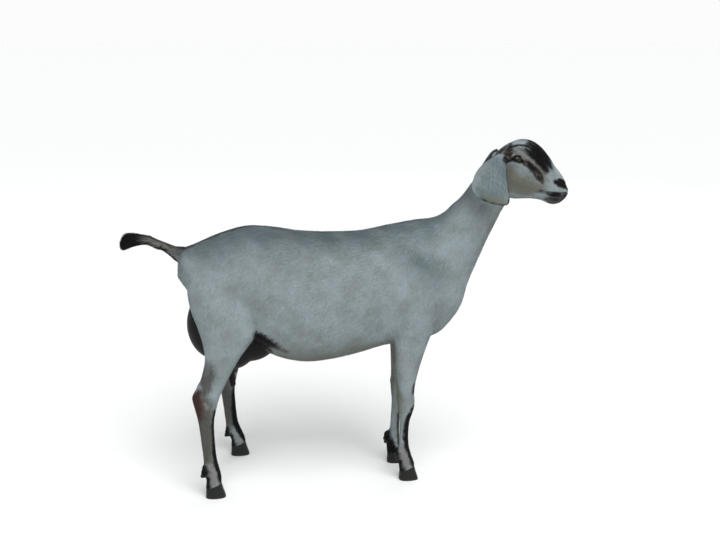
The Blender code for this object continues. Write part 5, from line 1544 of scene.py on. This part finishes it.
def growTail(surface):
    draw = np.random.default_rng(tailHair["seed"])
    behind = -surface["middle"][:, 0]
    start, (fade, least) = -tailHair["from"], tailHair["start"]
    onTail = (behind > start) * (smoothStep(behind, start, start + fade) * (1 - least) + least)
    roots = rootsOn(surface, onTail * tailHair["tufts"] / (surface["area"] * onTail).sum(), draw)
    at, normal = roots["at"], roots["normal"]
    x, length, stand = np.array(tailHair["along"]).T
    number = len(at)
    length = np.interp(-at[:, 0], -x, length) * draw.uniform(*tailHair["length"], number)
    stand = np.interp(-at[:, 0], -x, stand) * draw.uniform(*tailHair["stand"], number)
    rows = smoothRows(dockRows(), 6)
    spine = np.stack([(rows[:, 0] + rows[:, 2]) / 2, rows[:, 4], (rows[:, 1] + rows[:, 3]) / 2], axis=1)
    slope = np.gradient(spine, axis=0)
    way = unit(np.stack([np.interp(-at[:, 0], -spine[:, 0], slope[:, i]) for i in range(3)], axis=1))
    side = unit(normal - way * (normal * way).sum(axis=1)[:, None])
    turn = tailHair["turn"] * draw.normal(size=number)
    across = np.cross(side, way)
    way = unit(way + across * turn[:, None])
    width = tailHair["width"] * draw.uniform(*tailHair["widths"], number)
    centres = []
    for t in tailHair["shares"]:
        rise = stand * math.sin(0.5 * math.pi * min(1.0, t / tailHair["rise"]))
        drop = np.array([0, 0, tailHair["droop"] * t * t])
        root = at - side * tailHair["sink"]
        centres.append(root + way * (length * t)[:, None] + side * rise[:, None] - drop)
    pairs = tuftPairs(centres, across, width, tailHair["halfWidths"])
    lean = across * (tailHair["lean"] * draw.normal(size=number))[:, None]
    pairNormals = np.stack([side + lean] * 3, axis=1)
    marks = markedAt(at + way * (length * tailHair["marked"])[:, None], draw.normal(size=(number, 3)))
    marks["bare"] = marks["bare"] * 0
    marks["shade"] = np.clip(draw.normal(size=number) * coat["shade"], -1, 1)
    along = np.repeat(tailHair["shares"], (2, 2, 2, 1))
    return tuftPiece("tail_hair", pairs, centres[3], pairNormals, side + lean, roots["uv"], marks, along)


# Single stiff hairs: lashes along the upper lids and whiskers on lips and chin
fineHair = {
    "seed": 13,
    "lashes": 34,
    "lashArc": (0.10, 0.92),      # from where to where along the upper lid, as shares of its half turn
    "lashSpread": 0.02,           # of their places, in radians of that arc
    "lashLength": 0.0125,
    "lashRange": (0.6, 1.0),      # least and most, times that
    "lashArch": (0.55, 0.45),     # share of it at the corners, and what the middle adds
    "lashWay": (0.9, 0.45, (0.1, 0, -0.25)),  # with the gaze, away from the eye, and the same for all
    "lashRoot": 0.7,              # how far out on the lid, times its rim
    "whiskers": 14,               # in each bed
    "whiskerLength": 0.0170,
    "whiskerRange": (0.4, 1.0),
    "whiskerWay": ((-0.30, 0, -0.55), 0.15),  # added to the way out of the skin, and at random
    "width": (0.00055, 0.00032),  # of lashes and whiskers
    "halfWidths": (1.0, 0.7),     # at root and middle, times half of that
    "bend": (-0.10, 0.2),         # how far tips droop, times the length, and share of it at the middle
    "shade": 0.2,
    # where whiskers stand: centre and spread
    "beds": (((0.568, 0.028, 0.868), 0.010), ((0.560, 0.018, 0.832), 0.014)),
}


def growFineHair(surface):
    draw = np.random.default_rng(fineHair["seed"])
    ahead, away, droop = fineHair["lashWay"]
    corner, more = fineHair["lashArch"]
    back, loose = fineHair["whiskerWay"]
    roots, ways, lengths, widths = [], [], [], []
    for side in (-1, 1):
        gaze, front, upright = eyeAxes(side)
        number = fineHair["lashes"]
        turns = np.linspace(*fineHair["lashArc"], number) * math.pi
        for t in turns + draw.normal(size=number) * fineHair["lashSpread"]:
            flat = almondPoint(front, upright, t)
            flat *= 1 + eyes["rim"] / flat.length
            deep = math.sqrt((eyes["radius"] + eyes["rim"]) ** 2 - flat.length**2)
            deep += eyes["rim"] * fineHair["lashRoot"]
            roots.append(np.array(eyeCentre(side) + flat + gaze * deep))
            ways.append(np.array(gaze * ahead + flat.normalized() * away) + droop)
            length = fineHair["lashLength"] * draw.uniform(*fineHair["lashRange"])
            lengths.append(length * (corner + more * math.sin(t)))
            widths.append(fineHair["width"][0])
        for (x, out, z), spread in fineHair["beds"]:
            for _ in range(fineHair["whiskers"]):
                near = Vector((x, side * out, z)) + Vector(draw.normal(size=3) * spread)
                spot, normal, _, _ = surface["tree"].find_nearest(near)
                roots.append(np.array(spot))
                ways.append(np.array(normal) + back + loose * draw.normal(size=3))
                lengths.append(fineHair["whiskerLength"] * draw.uniform(*fineHair["whiskerRange"]))
                widths.append(fineHair["width"][1])
    roots, ways, lengths = np.array(roots), unit(np.array(ways)), np.array(lengths)[:, None]
    widths = np.array(widths)[:, None]
    across = unit(np.cross(ways, (0.3, 0.2, 1.0))) * widths / 2
    fall, early = fineHair["bend"]
    bend = np.array([0, 0, fall]) * lengths
    middle = roots + ways * lengths * 0.5 + bend * early
    sunk = roots - ways * tailHair["sink"]
    pairs = tuftPairs((sunk, middle), across, np.ones(len(roots)), fineHair["halfWidths"])
    normal = unit(np.cross(across, ways))
    facing = np.stack([normal, normal], axis=1)
    faces = [surface["tree"].find_nearest(Vector(at))[2] for at in roots]
    marks = {name: np.zeros(len(roots)) for name in (*markings, "bare")}
    marks["blackAndShade"][widths[:, 0] == fineHair["width"][0]] = 1
    marks["smoke"][widths[:, 0] == fineHair["width"][1]] = 1
    marks["shade"] = draw.normal(size=len(roots)) * fineHair["shade"]
    along = np.repeat(coat["shares"], (2, 2, 1))
    return tuftPiece("fine_hair", pairs, roots + ways * lengths + bend, facing, normal,
                     surface["uv"][faces].mean(axis=1), marks, along)


surface = skinSurface(skin)
report("surface read")
coatPieces = growCoat(surface)
report("coat grown")
tail = growTail(surface)
whiskers = growFineHair(surface)
report(f"tail hair grown, {sum(len(p.data.polygons) for p in coatPieces + [tail])} triangles of hair")


# Eyes

eyeForm = {
    "forward": 12,        # degrees that the pupil turns forward of square
    "up": 4,
    "corneaWidth": 0.0100,
    "corneaHeight": 0.0011,
    "corneaFall": 1.4,    # how fast it falls off at its width
    "lidsFrom": (1.10, 1.35),  # shares of the almond over which the lids come to hide the globe
    "behindLids": 0.07,   # share that the globe is smaller where the lids hide it
}


def makeEye(label, side):
    gaze = heading(eyeForm["forward"], eyeForm["up"], side)
    level = Vector((0, 0, 1)).cross(gaze).normalized()
    up = gaze.cross(level)
    ahead, front, upright = eyeAxes(side)
    work = bmesh.new()
    bmesh.ops.create_uvsphere(work, u_segments=64, v_segments=48, radius=eyes["radius"])
    for v in work.verts:
        spot = level * v.co.x + up * v.co.y + gaze * v.co.z
        share = almondShare(np.array(spot), front, upright)
        hidden = 1.0 if spot.dot(ahead) < 0 else float(smoothStep(share, *eyeForm["lidsFrom"]))
        around = math.hypot(v.co.x, v.co.y) / eyeForm["corneaWidth"]
        if v.co.z > 0:
            dome = math.exp(-eyeForm["corneaFall"] * around**4)
            v.co *= 1 + eyeForm["corneaHeight"] / eyes["radius"] * dome
        v.co *= 1 - eyeForm["behindLids"] * hidden
    mesh = meshOf("globe", work)
    mesh.shade_smooth()
    globe = linked(f"globe_{label}", mesh)
    turned = Matrix((level, up, gaze)).transposed().to_4x4()
    globe.matrix_world = Matrix.Translation(eyeCentre(side)) @ turned
    return globe


globes = {label: makeEye(label, side) for label, side in sideSign.items()}
report("eyes")


# One claw of a foot: flat sole, straight cleft wall, round outer wall with growth rings and a slanting top
def makeClaw(name, foot, side, half, shift):
    heel = heelX[foot] + shift
    out = claws["footOut"][foot]
    heelTop, rise = claws["heelHeight"], claws["toeHeight"] - claws["heelHeight"]
    power, narrowing = claws["bulge"]
    ringTurns = claws["toeHeight"] / claws["ringSpacing"] * 2 * math.pi
    soleEnd, crownStart = claws["edgeEnds"]
    rings = []
    for t in np.arange(claws["levels"]) / (claws["levels"] - 1):
        start = heel + claws["heelSlope"] * t
        length = claws["length"] - (claws["toeSlope"] + claws["heelSlope"]) * t
        width = claws["halfWidth"] * (1 - claws["slimmer"] * t)
        edge = claws["soleEdge"] * (1 - smoothStep(t, 0.0, soleEnd))
        crown = claws["crownEdge"] * smoothStep(t, crownStart, 1.0)
        inward = edge + crown - claws["ringHeight"] * math.sin(t * ringTurns)
        ring = []
        for k in range(claws["outline"]):
            turn = math.pi * k / (claws["outline"] - 1)
            along = 0.5 - 0.5 * math.cos(turn)
            bulge = math.sin(turn) ** power * (1 - narrowing * along)
            hollow = claws["hollow"] * math.sin(math.pi * t) * smoothStep(along, 0.5, 1.0)
            x = start + along * length + inward * math.cos(turn) - hollow
            y = claws["cleft"] / 2 + (width - claws["cleft"] / 2 - inward) * bulge
            ring.append((x, side * out + half * y, t * (heelTop + rise * along)))
        for s in np.linspace(1, 0, claws["inside"] + 2)[1:-1]:
            y = side * out + half * claws["cleft"] / 2
            ring.append((start + length * s, y, t * (heelTop + rise * s)))
        rings.append(np.array(ring))
    claw = skinRings(name, rings)
    claw.data.shade_smooth()
    claw.data.set_sharp_from_angle(angle=math.radians(claws["sharp"]))
    return claw


# A dewclaw: a blunt cone of ringed horn
def makeDewclaw(name, foot, side, half, shift):
    x, out, z = dewclaws["place"][foot]
    centre = np.array((x + shift, side * (claws["footOut"][foot] + side * half * out), z))
    work = bmesh.new()
    bmesh.ops.create_uvsphere(work, u_segments=28, v_segments=22, radius=1.0)
    for v in work.verts:
        ring = 1 + dewclaws["ringHeight"] * math.sin(v.co.z * dewclaws["ringTurns"])
        slim = ring * (1 + dewclaws["taper"] * v.co.z)
        v.co.x *= slim
        v.co.y *= slim
    place = Matrix.Translation(centre) @ Matrix.Rotation(math.radians(dewclaws["tilt"]), 4, "Y")
    place = place @ Matrix.Diagonal([*dewclaws["size"], 1.0])
    bmesh.ops.transform(work, matrix=place, verts=work.verts)
    mesh = meshOf(name, work)
    mesh.shade_smooth()
    return linked(name, mesh)


horn = {}
for foot in ("fore", "hind"):
    for label, side in sideSign.items():
        leg = f"{foot}_{label}"
        for word, half in (("inner", -side), ("outer", side)):
            claw, dewclaw = f"{leg}_{word}_claw", f"{leg}_{word}_dewclaw"
            shift = strideShift(leg, 0.0)
            horn[claw] = makeClaw(f"horn_{claw}", foot, side, half, shift)
            shift = strideShift(leg, dewclaws["place"][foot][2])
            horn[dewclaw] = makeDewclaw(f"horn_{dewclaw}", foot, side, half, shift)
report("hooves")


# Materials

def toLinear(colour):
    parts = [int(colour[i : i + 2], 16) / 255 for i in (1, 3, 5)]
    return [c / 12.92 if c <= 0.04045 else ((c + 0.055) / 1.055) ** 2.4 for c in parts] + [1.0]


# Adds a node. A setting is a property of the node or the value of one of its sockets, and a link is the
# socket that feeds one of its own. Math and Mix sockets go by number: a Mix has its factor at 0, values
# at 2 and 3 and colours at 6 and 7, and gives a value at 0 and a colour at 2.
def addNode(tree, kind, settings=None, links=None):
    made = tree.nodes.new("ShaderNode" + kind)
    for key, value in (settings or {}).items():
        if isinstance(key, str) and hasattr(made, key):
            setattr(made, key, value)
        else:
            made.inputs[key].default_value = value
    for key, source in (links or {}).items():
        tree.links.new(source, made.inputs[key])
    return made


def newMaterial(name):
    material = bpy.data.materials.new(name)
    material.use_nodes = True
    material.node_tree.nodes.clear()
    return material, material.node_tree


def shadeWith(tree, settings, links):
    shader = addNode(tree, "BsdfPrincipled", settings, links)
    addNode(tree, "OutputMaterial", {}, {"Surface": shader.outputs["BSDF"]})


coatColours = {
    "base": "#8f9b9f",      # blue-grey
    "slate": "#616f74",
    "olive": "#6c6e63",
    "smoke": "#52524e",
    # pale hair, and painted light on chest and forearm
    "paleAndPaintedLight": "#a2adb2",
    "mauve": "#7d7c7b",
    "russet": "#3d2b25",
    "brown": "#2c211b",
    # black hair, and painted shade in folds and between the legs
    "blackAndShade": "#070708",
    "bare": "#0d0b0b",
}


# The colours of hair and hide: the base, with faint warm patches about 45 mm across, then each marking
# over it, among them painted light and shade. Tone is a socket with a factor near 1, for lighter and
# darker.
def markedColour(tree, tone):
    texture = addNode(tree, "TexCoord")
    mottle = addNode(tree, "TexNoise", {"Scale": 22.0, "Detail": 3.0, "Roughness": 0.55},
                     {"Vector": texture.outputs["Object"]})
    warm = addNode(tree, "MapRange", {"From Min": 0.42, "From Max": 0.68, "To Min": 0.0, "To Max": 0.35},
                   {"Value": mottle.outputs["Fac"]})
    mix = addNode(tree, "Mix", {"data_type": "RGBA", 6: toLinear(coatColours["base"]),
                                7: toLinear(coatColours["olive"])}, {0: warm.outputs["Result"]})
    for name in (*markings, "bare"):
        mask = addNode(tree, "Attribute", {"attribute_name": name})
        mix = addNode(tree, "Mix", {"data_type": "RGBA", 7: toLinear(coatColours[name])},
                      {0: mask.outputs["Fac"], 6: mix.outputs[2]})
    return addNode(tree, "HueSaturation", {"Hue": 0.5, "Saturation": 1.0},
                   {"Color": mix.outputs[2], "Value": tone}).outputs["Color"]


# Goat hair: short, straight guard hair, close and dry. It gives a soft, even sheen with no bright spot,
# and each tuft is a little lighter or darker than the next.
def goatHair():
    material, tree = newMaterial("goat_hair")
    shade = addNode(tree, "Attribute", {"attribute_name": "shade"})
    along = addNode(tree, "Attribute", {"attribute_name": "along"})
    # Each tuft is drawn darker towards its root: painted shade deep in the coat
    tip = addNode(tree, "MapRange", {"From Min": 0.0, "From Max": 1.0, "To Min": 0.86, "To Max": 1.08},
                  {"Value": along.outputs["Fac"]})
    tone = addNode(tree, "Math", {"operation": "MULTIPLY_ADD", 1: 0.26},
                   {0: shade.outputs["Fac"], 2: tip.outputs["Result"]})
    colour = markedColour(tree, tone.outputs["Value"])
    shadeWith(tree, {"Roughness": 0.62, "IOR": 1.55, "Specular IOR Level": 0.10, "Sheen Weight": 0.03,
                     "Sheen Roughness": 0.5}, {"Base Color": colour})
    return material


# Hide under the coat: the same colours, with the fine grain of hair lying flat, and on bare places the
# close creases of dark skin. Hair strands are about 0.08 mm, drawn here 0.7 mm wide so that they show.
def goatHide():
    material, tree = newMaterial("goat_hide")
    texture = addNode(tree, "TexCoord")
    strands = addNode(tree, "TexNoise", {"Scale": 1 / 0.0014, "Detail": 3.0, "Roughness": 0.6},
                      {"Vector": texture.outputs["Object"]})
    tone = addNode(tree, "MapRange",
                   {"From Min": 0.25, "From Max": 0.75, "To Min": 0.78, "To Max": 1.05},
                   {"Value": strands.outputs["Fac"]})
    colour = markedColour(tree, tone.outputs["Result"])
    bare = addNode(tree, "Attribute", {"attribute_name": "bare"})
    creases = addNode(tree, "TexVoronoi", {"feature": "DISTANCE_TO_EDGE", "Scale": 1 / 0.0022},
                      {"Vector": texture.outputs["Object"]})
    relief = addNode(tree, "Mix", {"data_type": "FLOAT"},
                     {0: bare.outputs["Fac"], 2: strands.outputs["Fac"], 3: creases.outputs["Distance"]})
    bump = addNode(tree, "Bump", {"Strength": 0.35, "Distance": 0.0006}, {"Height": relief.outputs[0]})
    rough = addNode(tree, "MapRange", {"From Min": 0.0, "From Max": 1.0, "To Min": 0.75, "To Max": 0.42},
                    {"Value": bare.outputs["Fac"]})
    shadeWith(tree, {"IOR": 1.45, "Specular IOR Level": 0.16},
              {"Base Color": colour, "Roughness": rough.outputs["Result"],
               "Normal": bump.outputs["Normal"]})
    return material


hornColours = {
    "horn": "#1f1f1d",
    "streak": "#0f0f0f",
    "worn": "#3d3b35",
}


# Hoof horn: keratin grown down in fine tubes and worn on the ground. It is dull and dark, with faint
# upright streaks, and paler and rougher where it is worn.
def hoofHorn():
    material, tree = newMaterial("hoof_horn")
    texture = addNode(tree, "TexCoord")
    place = texture.outputs["Object"]
    stretch = addNode(tree, "Mapping", {"Scale": (1.0, 1.0, 0.12)}, {"Vector": place})
    streaks = addNode(tree, "TexNoise", {"Scale": 1 / 0.0016, "Detail": 4.0},
                      {"Vector": stretch.outputs["Vector"]})
    dark = addNode(tree, "Mix", {"data_type": "RGBA", 6: toLinear(hornColours["streak"]),
                                 7: toLinear(hornColours["horn"])}, {0: streaks.outputs["Fac"]})
    height = addNode(tree, "SeparateXYZ", {}, {"Vector": place}).outputs["Z"]
    low = addNode(tree, "MapRange", {"From Min": 0.0, "From Max": 0.010, "To Min": 0.55, "To Max": 0.0},
                  {"Value": height})
    blotch = addNode(tree, "TexNoise", {"Scale": 1 / 0.006, "Detail": 3.0}, {"Vector": place})
    wear = addNode(tree, "Math", {"operation": "MULTIPLY"},
                   {0: low.outputs["Result"], 1: blotch.outputs["Fac"]})
    colour = addNode(tree, "Mix", {"data_type": "RGBA", 7: toLinear(hornColours["worn"])},
                     {0: wear.outputs["Value"], 6: dark.outputs[2]})
    bump = addNode(tree, "Bump", {"Strength": 0.4, "Distance": 0.0004},
                   {"Height": streaks.outputs["Fac"]})
    rough = addNode(tree, "MapRange", {"From Min": 0.3, "From Max": 0.7, "To Min": 0.42, "To Max": 0.60},
                    {"Value": streaks.outputs["Fac"]})
    shadeWith(tree, {"IOR": 1.55, "Specular IOR Level": 0.20},
              {"Base Color": colour.outputs[2], "Roughness": rough.outputs["Result"],
               "Normal": bump.outputs["Normal"]})
    return material


irisForm = {
    "amber": "#38230f",
    "outer": "#150d07",
    "white": "#1f1814",
    "pupil": "#040405",
    "radius": 0.0104,
    "pupilHalfLength": 0.0064,
    "pupilHalfHeight": 0.0023,
}


# A wet eyeball: clear cornea over an amber iris with a level slit pupil. It gives one sharp glint.
def wetEye():
    material, tree = newMaterial("wet_eye")
    texture = addNode(tree, "TexCoord")
    place = addNode(tree, "SeparateXYZ", {}, {"Vector": texture.outputs["Object"]})
    flat = addNode(tree, "CombineXYZ", {}, {"X": place.outputs["X"], "Y": place.outputs["Y"]})
    radius = addNode(tree, "VectorMath", {"operation": "LENGTH"}, {0: flat.outputs["Vector"]})
    turn = addNode(tree, "Math", {"operation": "ARCTAN2"},
                   {0: place.outputs["Y"], 1: place.outputs["X"]})
    polar = addNode(tree, "CombineXYZ", {}, {"X": turn.outputs["Value"], "Y": radius.outputs["Value"]})
    stretch = addNode(tree, "Mapping", {"Scale": (9.0, 220.0, 1.0)}, {"Vector": polar.outputs["Vector"]})
    fibres = addNode(tree, "TexNoise", {"Scale": 1.0, "Detail": 4.0},
                     {"Vector": stretch.outputs["Vector"]})
    deep = addNode(tree, "MapRange", {"From Min": 0.3, "From Max": 0.75, "To Min": 0.0, "To Max": 0.8},
                   {"Value": fibres.outputs["Fac"]})
    iris = addNode(tree, "Mix", {"data_type": "RGBA", 6: toLinear(irisForm["amber"]),
                                 7: toLinear(irisForm["outer"])}, {0: deep.outputs["Result"]})
    limit = irisForm["radius"]
    edge = addNode(tree, "MapRange",
                   {"interpolation_type": "SMOOTHSTEP", "From Min": limit * 0.80, "From Max": limit},
                   {"Value": radius.outputs["Value"]})
    ring = addNode(tree, "Mix", {"data_type": "RGBA", 7: toLinear(irisForm["white"])},
                   {0: edge.outputs["Result"], 6: iris.outputs[2]})
    powers = []
    for axis, half in (("X", irisForm["pupilHalfLength"]), ("Y", irisForm["pupilHalfHeight"])):
        value = place.outputs[axis]
        for step, amount in (("DIVIDE", half), ("ABSOLUTE", 0.0), ("POWER", 4.0)):
            value = addNode(tree, "Math", {"operation": step, 1: amount}, {0: value}).outputs["Value"]
        powers.append(value)
    slot = addNode(tree, "Math", {"operation": "ADD"}, dict(enumerate(powers)))
    pupil = addNode(tree, "MapRange", {"interpolation_type": "SMOOTHSTEP", "From Min": 0.7,
                                       "From Max": 1.3, "To Min": 1.0, "To Max": 0.0},
                    {"Value": slot.outputs["Value"]})
    colour = addNode(tree, "Mix", {"data_type": "RGBA", 7: toLinear(irisForm["pupil"])},
                     {0: pupil.outputs["Result"], 6: ring.outputs[2]})
    shadeWith(tree, {"Roughness": 0.35, "IOR": 1.376, "Specular IOR Level": 0.2, "Coat Weight": 0.6,
                     "Coat Roughness": 0.03, "Coat IOR": 1.376}, {"Base Color": colour.outputs[2]})
    return material


# A studio floor of matt white paint. It gives a soft shadow and no reflection.
def studioPaint():
    material, tree = newMaterial("matt_studio_paint")
    texture = addNode(tree, "TexCoord")
    grain = addNode(tree, "TexNoise", {"Scale": 1 / 0.0025, "Detail": 2.0},
                    {"Vector": texture.outputs["Object"]})
    tone = addNode(tree, "MapRange", {"To Min": 0.985, "To Max": 1.0}, {"Value": grain.outputs["Fac"]})
    colour = addNode(tree, "HueSaturation", {"Color": toLinear(studio["floorPaint"])},
                     {"Value": tone.outputs["Result"]})
    shadeWith(tree, {"Roughness": 0.9}, {"Base Color": colour.outputs["Color"]})
    return material


hair, hide, hoof, eye = goatHair(), goatHide(), hoofHorn(), wetEye()
report("materials")


# Carries every piece over to the imported goat, hangs it under the root and hides the nodes it stands in
# for

fleshNodes = ["head", "neck", "torso", "tail", "ear_right", "ear_left", "udder_right", "udder_left"]
for foot in heelX:
    fleshNodes += [f"{foot}_{label}_{half}_leg" for label in sideSign for half in ("upper", "lower")]


def hand(piece, material, nodes):
    piece.data.materials.clear()
    piece.data.materials.append(material)
    if piece.matrix_world == Matrix.Identity(4):
        piece.data.transform(Matrix.Translation((carry, 0, 0)))
    else:
        piece.matrix_world = Matrix.Translation((carry, 0, 0)) @ piece.matrix_world
    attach(piece, "root")
    if nodes:
        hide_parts(*nodes)


hand(skin, hide, fleshNodes)
for piece in coatPieces:
    hand(piece, hair, [])
hand(tail, hair, ["tail"])
hand(whiskers, hair, [])
for label, globe in globes.items():
    hand(globe, eye, [f"eye_{label}"])
for node, piece in horn.items():
    hand(piece, hoof, [node])
report("pieces in place")


# Floor and light

studio = {
    "floorRadius": 40.0,
    "floorPaint": "#f2f3f3",
    "sky": "#ffffff",
    "skyStrength": 0.50,
    "wallStrength": 0.972,
    "bright": (4, 16),     # degrees above the level over which the white wall turns to a dimmer ceiling
    "window": (15, 55, 2.3, 50),  # a wide soft window: way round, height, strength, degrees across
    # place, size, watts of each soft light, all turned to the middle of the goat
    "lights": {
        "key": ((1.2, -3.4, 3.0), 2.6, 30),
        "back": ((1.5, 3.6, 3.2), 3.0, 25),
    },
    "aimHeight": 0.55,
}


def makeStudio():
    bpy.ops.mesh.primitive_circle_add(vertices=96, radius=studio["floorRadius"], fill_type="NGON")
    floor = bpy.context.object
    floor.name = "studio_floor"
    floor.data.materials.append(studioPaint())
    world = bpy.data.worlds.new("studio")
    world.use_nodes = True
    tree = world.node_tree
    way = addNode(tree, "TexCoord")
    height = addNode(tree, "SeparateXYZ", {}, {"Vector": way.outputs["Generated"]})
    low, high = (math.sin(math.radians(angle)) for angle in studio["bright"])
    strength = addNode(tree, "MapRange", {"From Min": low, "From Max": high,
                                          "To Min": studio["wallStrength"],
                                          "To Max": studio["skyStrength"]},
                       {"Value": height.outputs["Z"]})
    background = tree.nodes["Background"]
    background.inputs["Color"].default_value = toLinear(studio["sky"])
    tree.links.new(strength.outputs["Result"], background.inputs["Strength"])
    bpy.context.scene.world = world
    turn, rise, power, width = studio["window"]
    data = bpy.data.lights.new("window", "SUN")
    data.energy = power
    data.angle = math.radians(width)
    linked("window", data).rotation_euler = heading(turn, rise).to_track_quat("Z", "Y").to_euler()
    for name, (place, size, power) in studio["lights"].items():
        data = bpy.data.lights.new(name, "AREA")
        data.shape = "DISK"
        data.size = size
        data.energy = power
        light = linked(name, data)
        light.location = Vector(place) + Vector((carry, 0, 0))
        aim = Vector((carry, 0, studio["aimHeight"])) - light.location
        light.rotation_euler = aim.to_track_quat("-Z", "Y").to_euler()


makeStudio()
bpy.context.scene.view_settings.view_transform = "Standard"
report("studio")
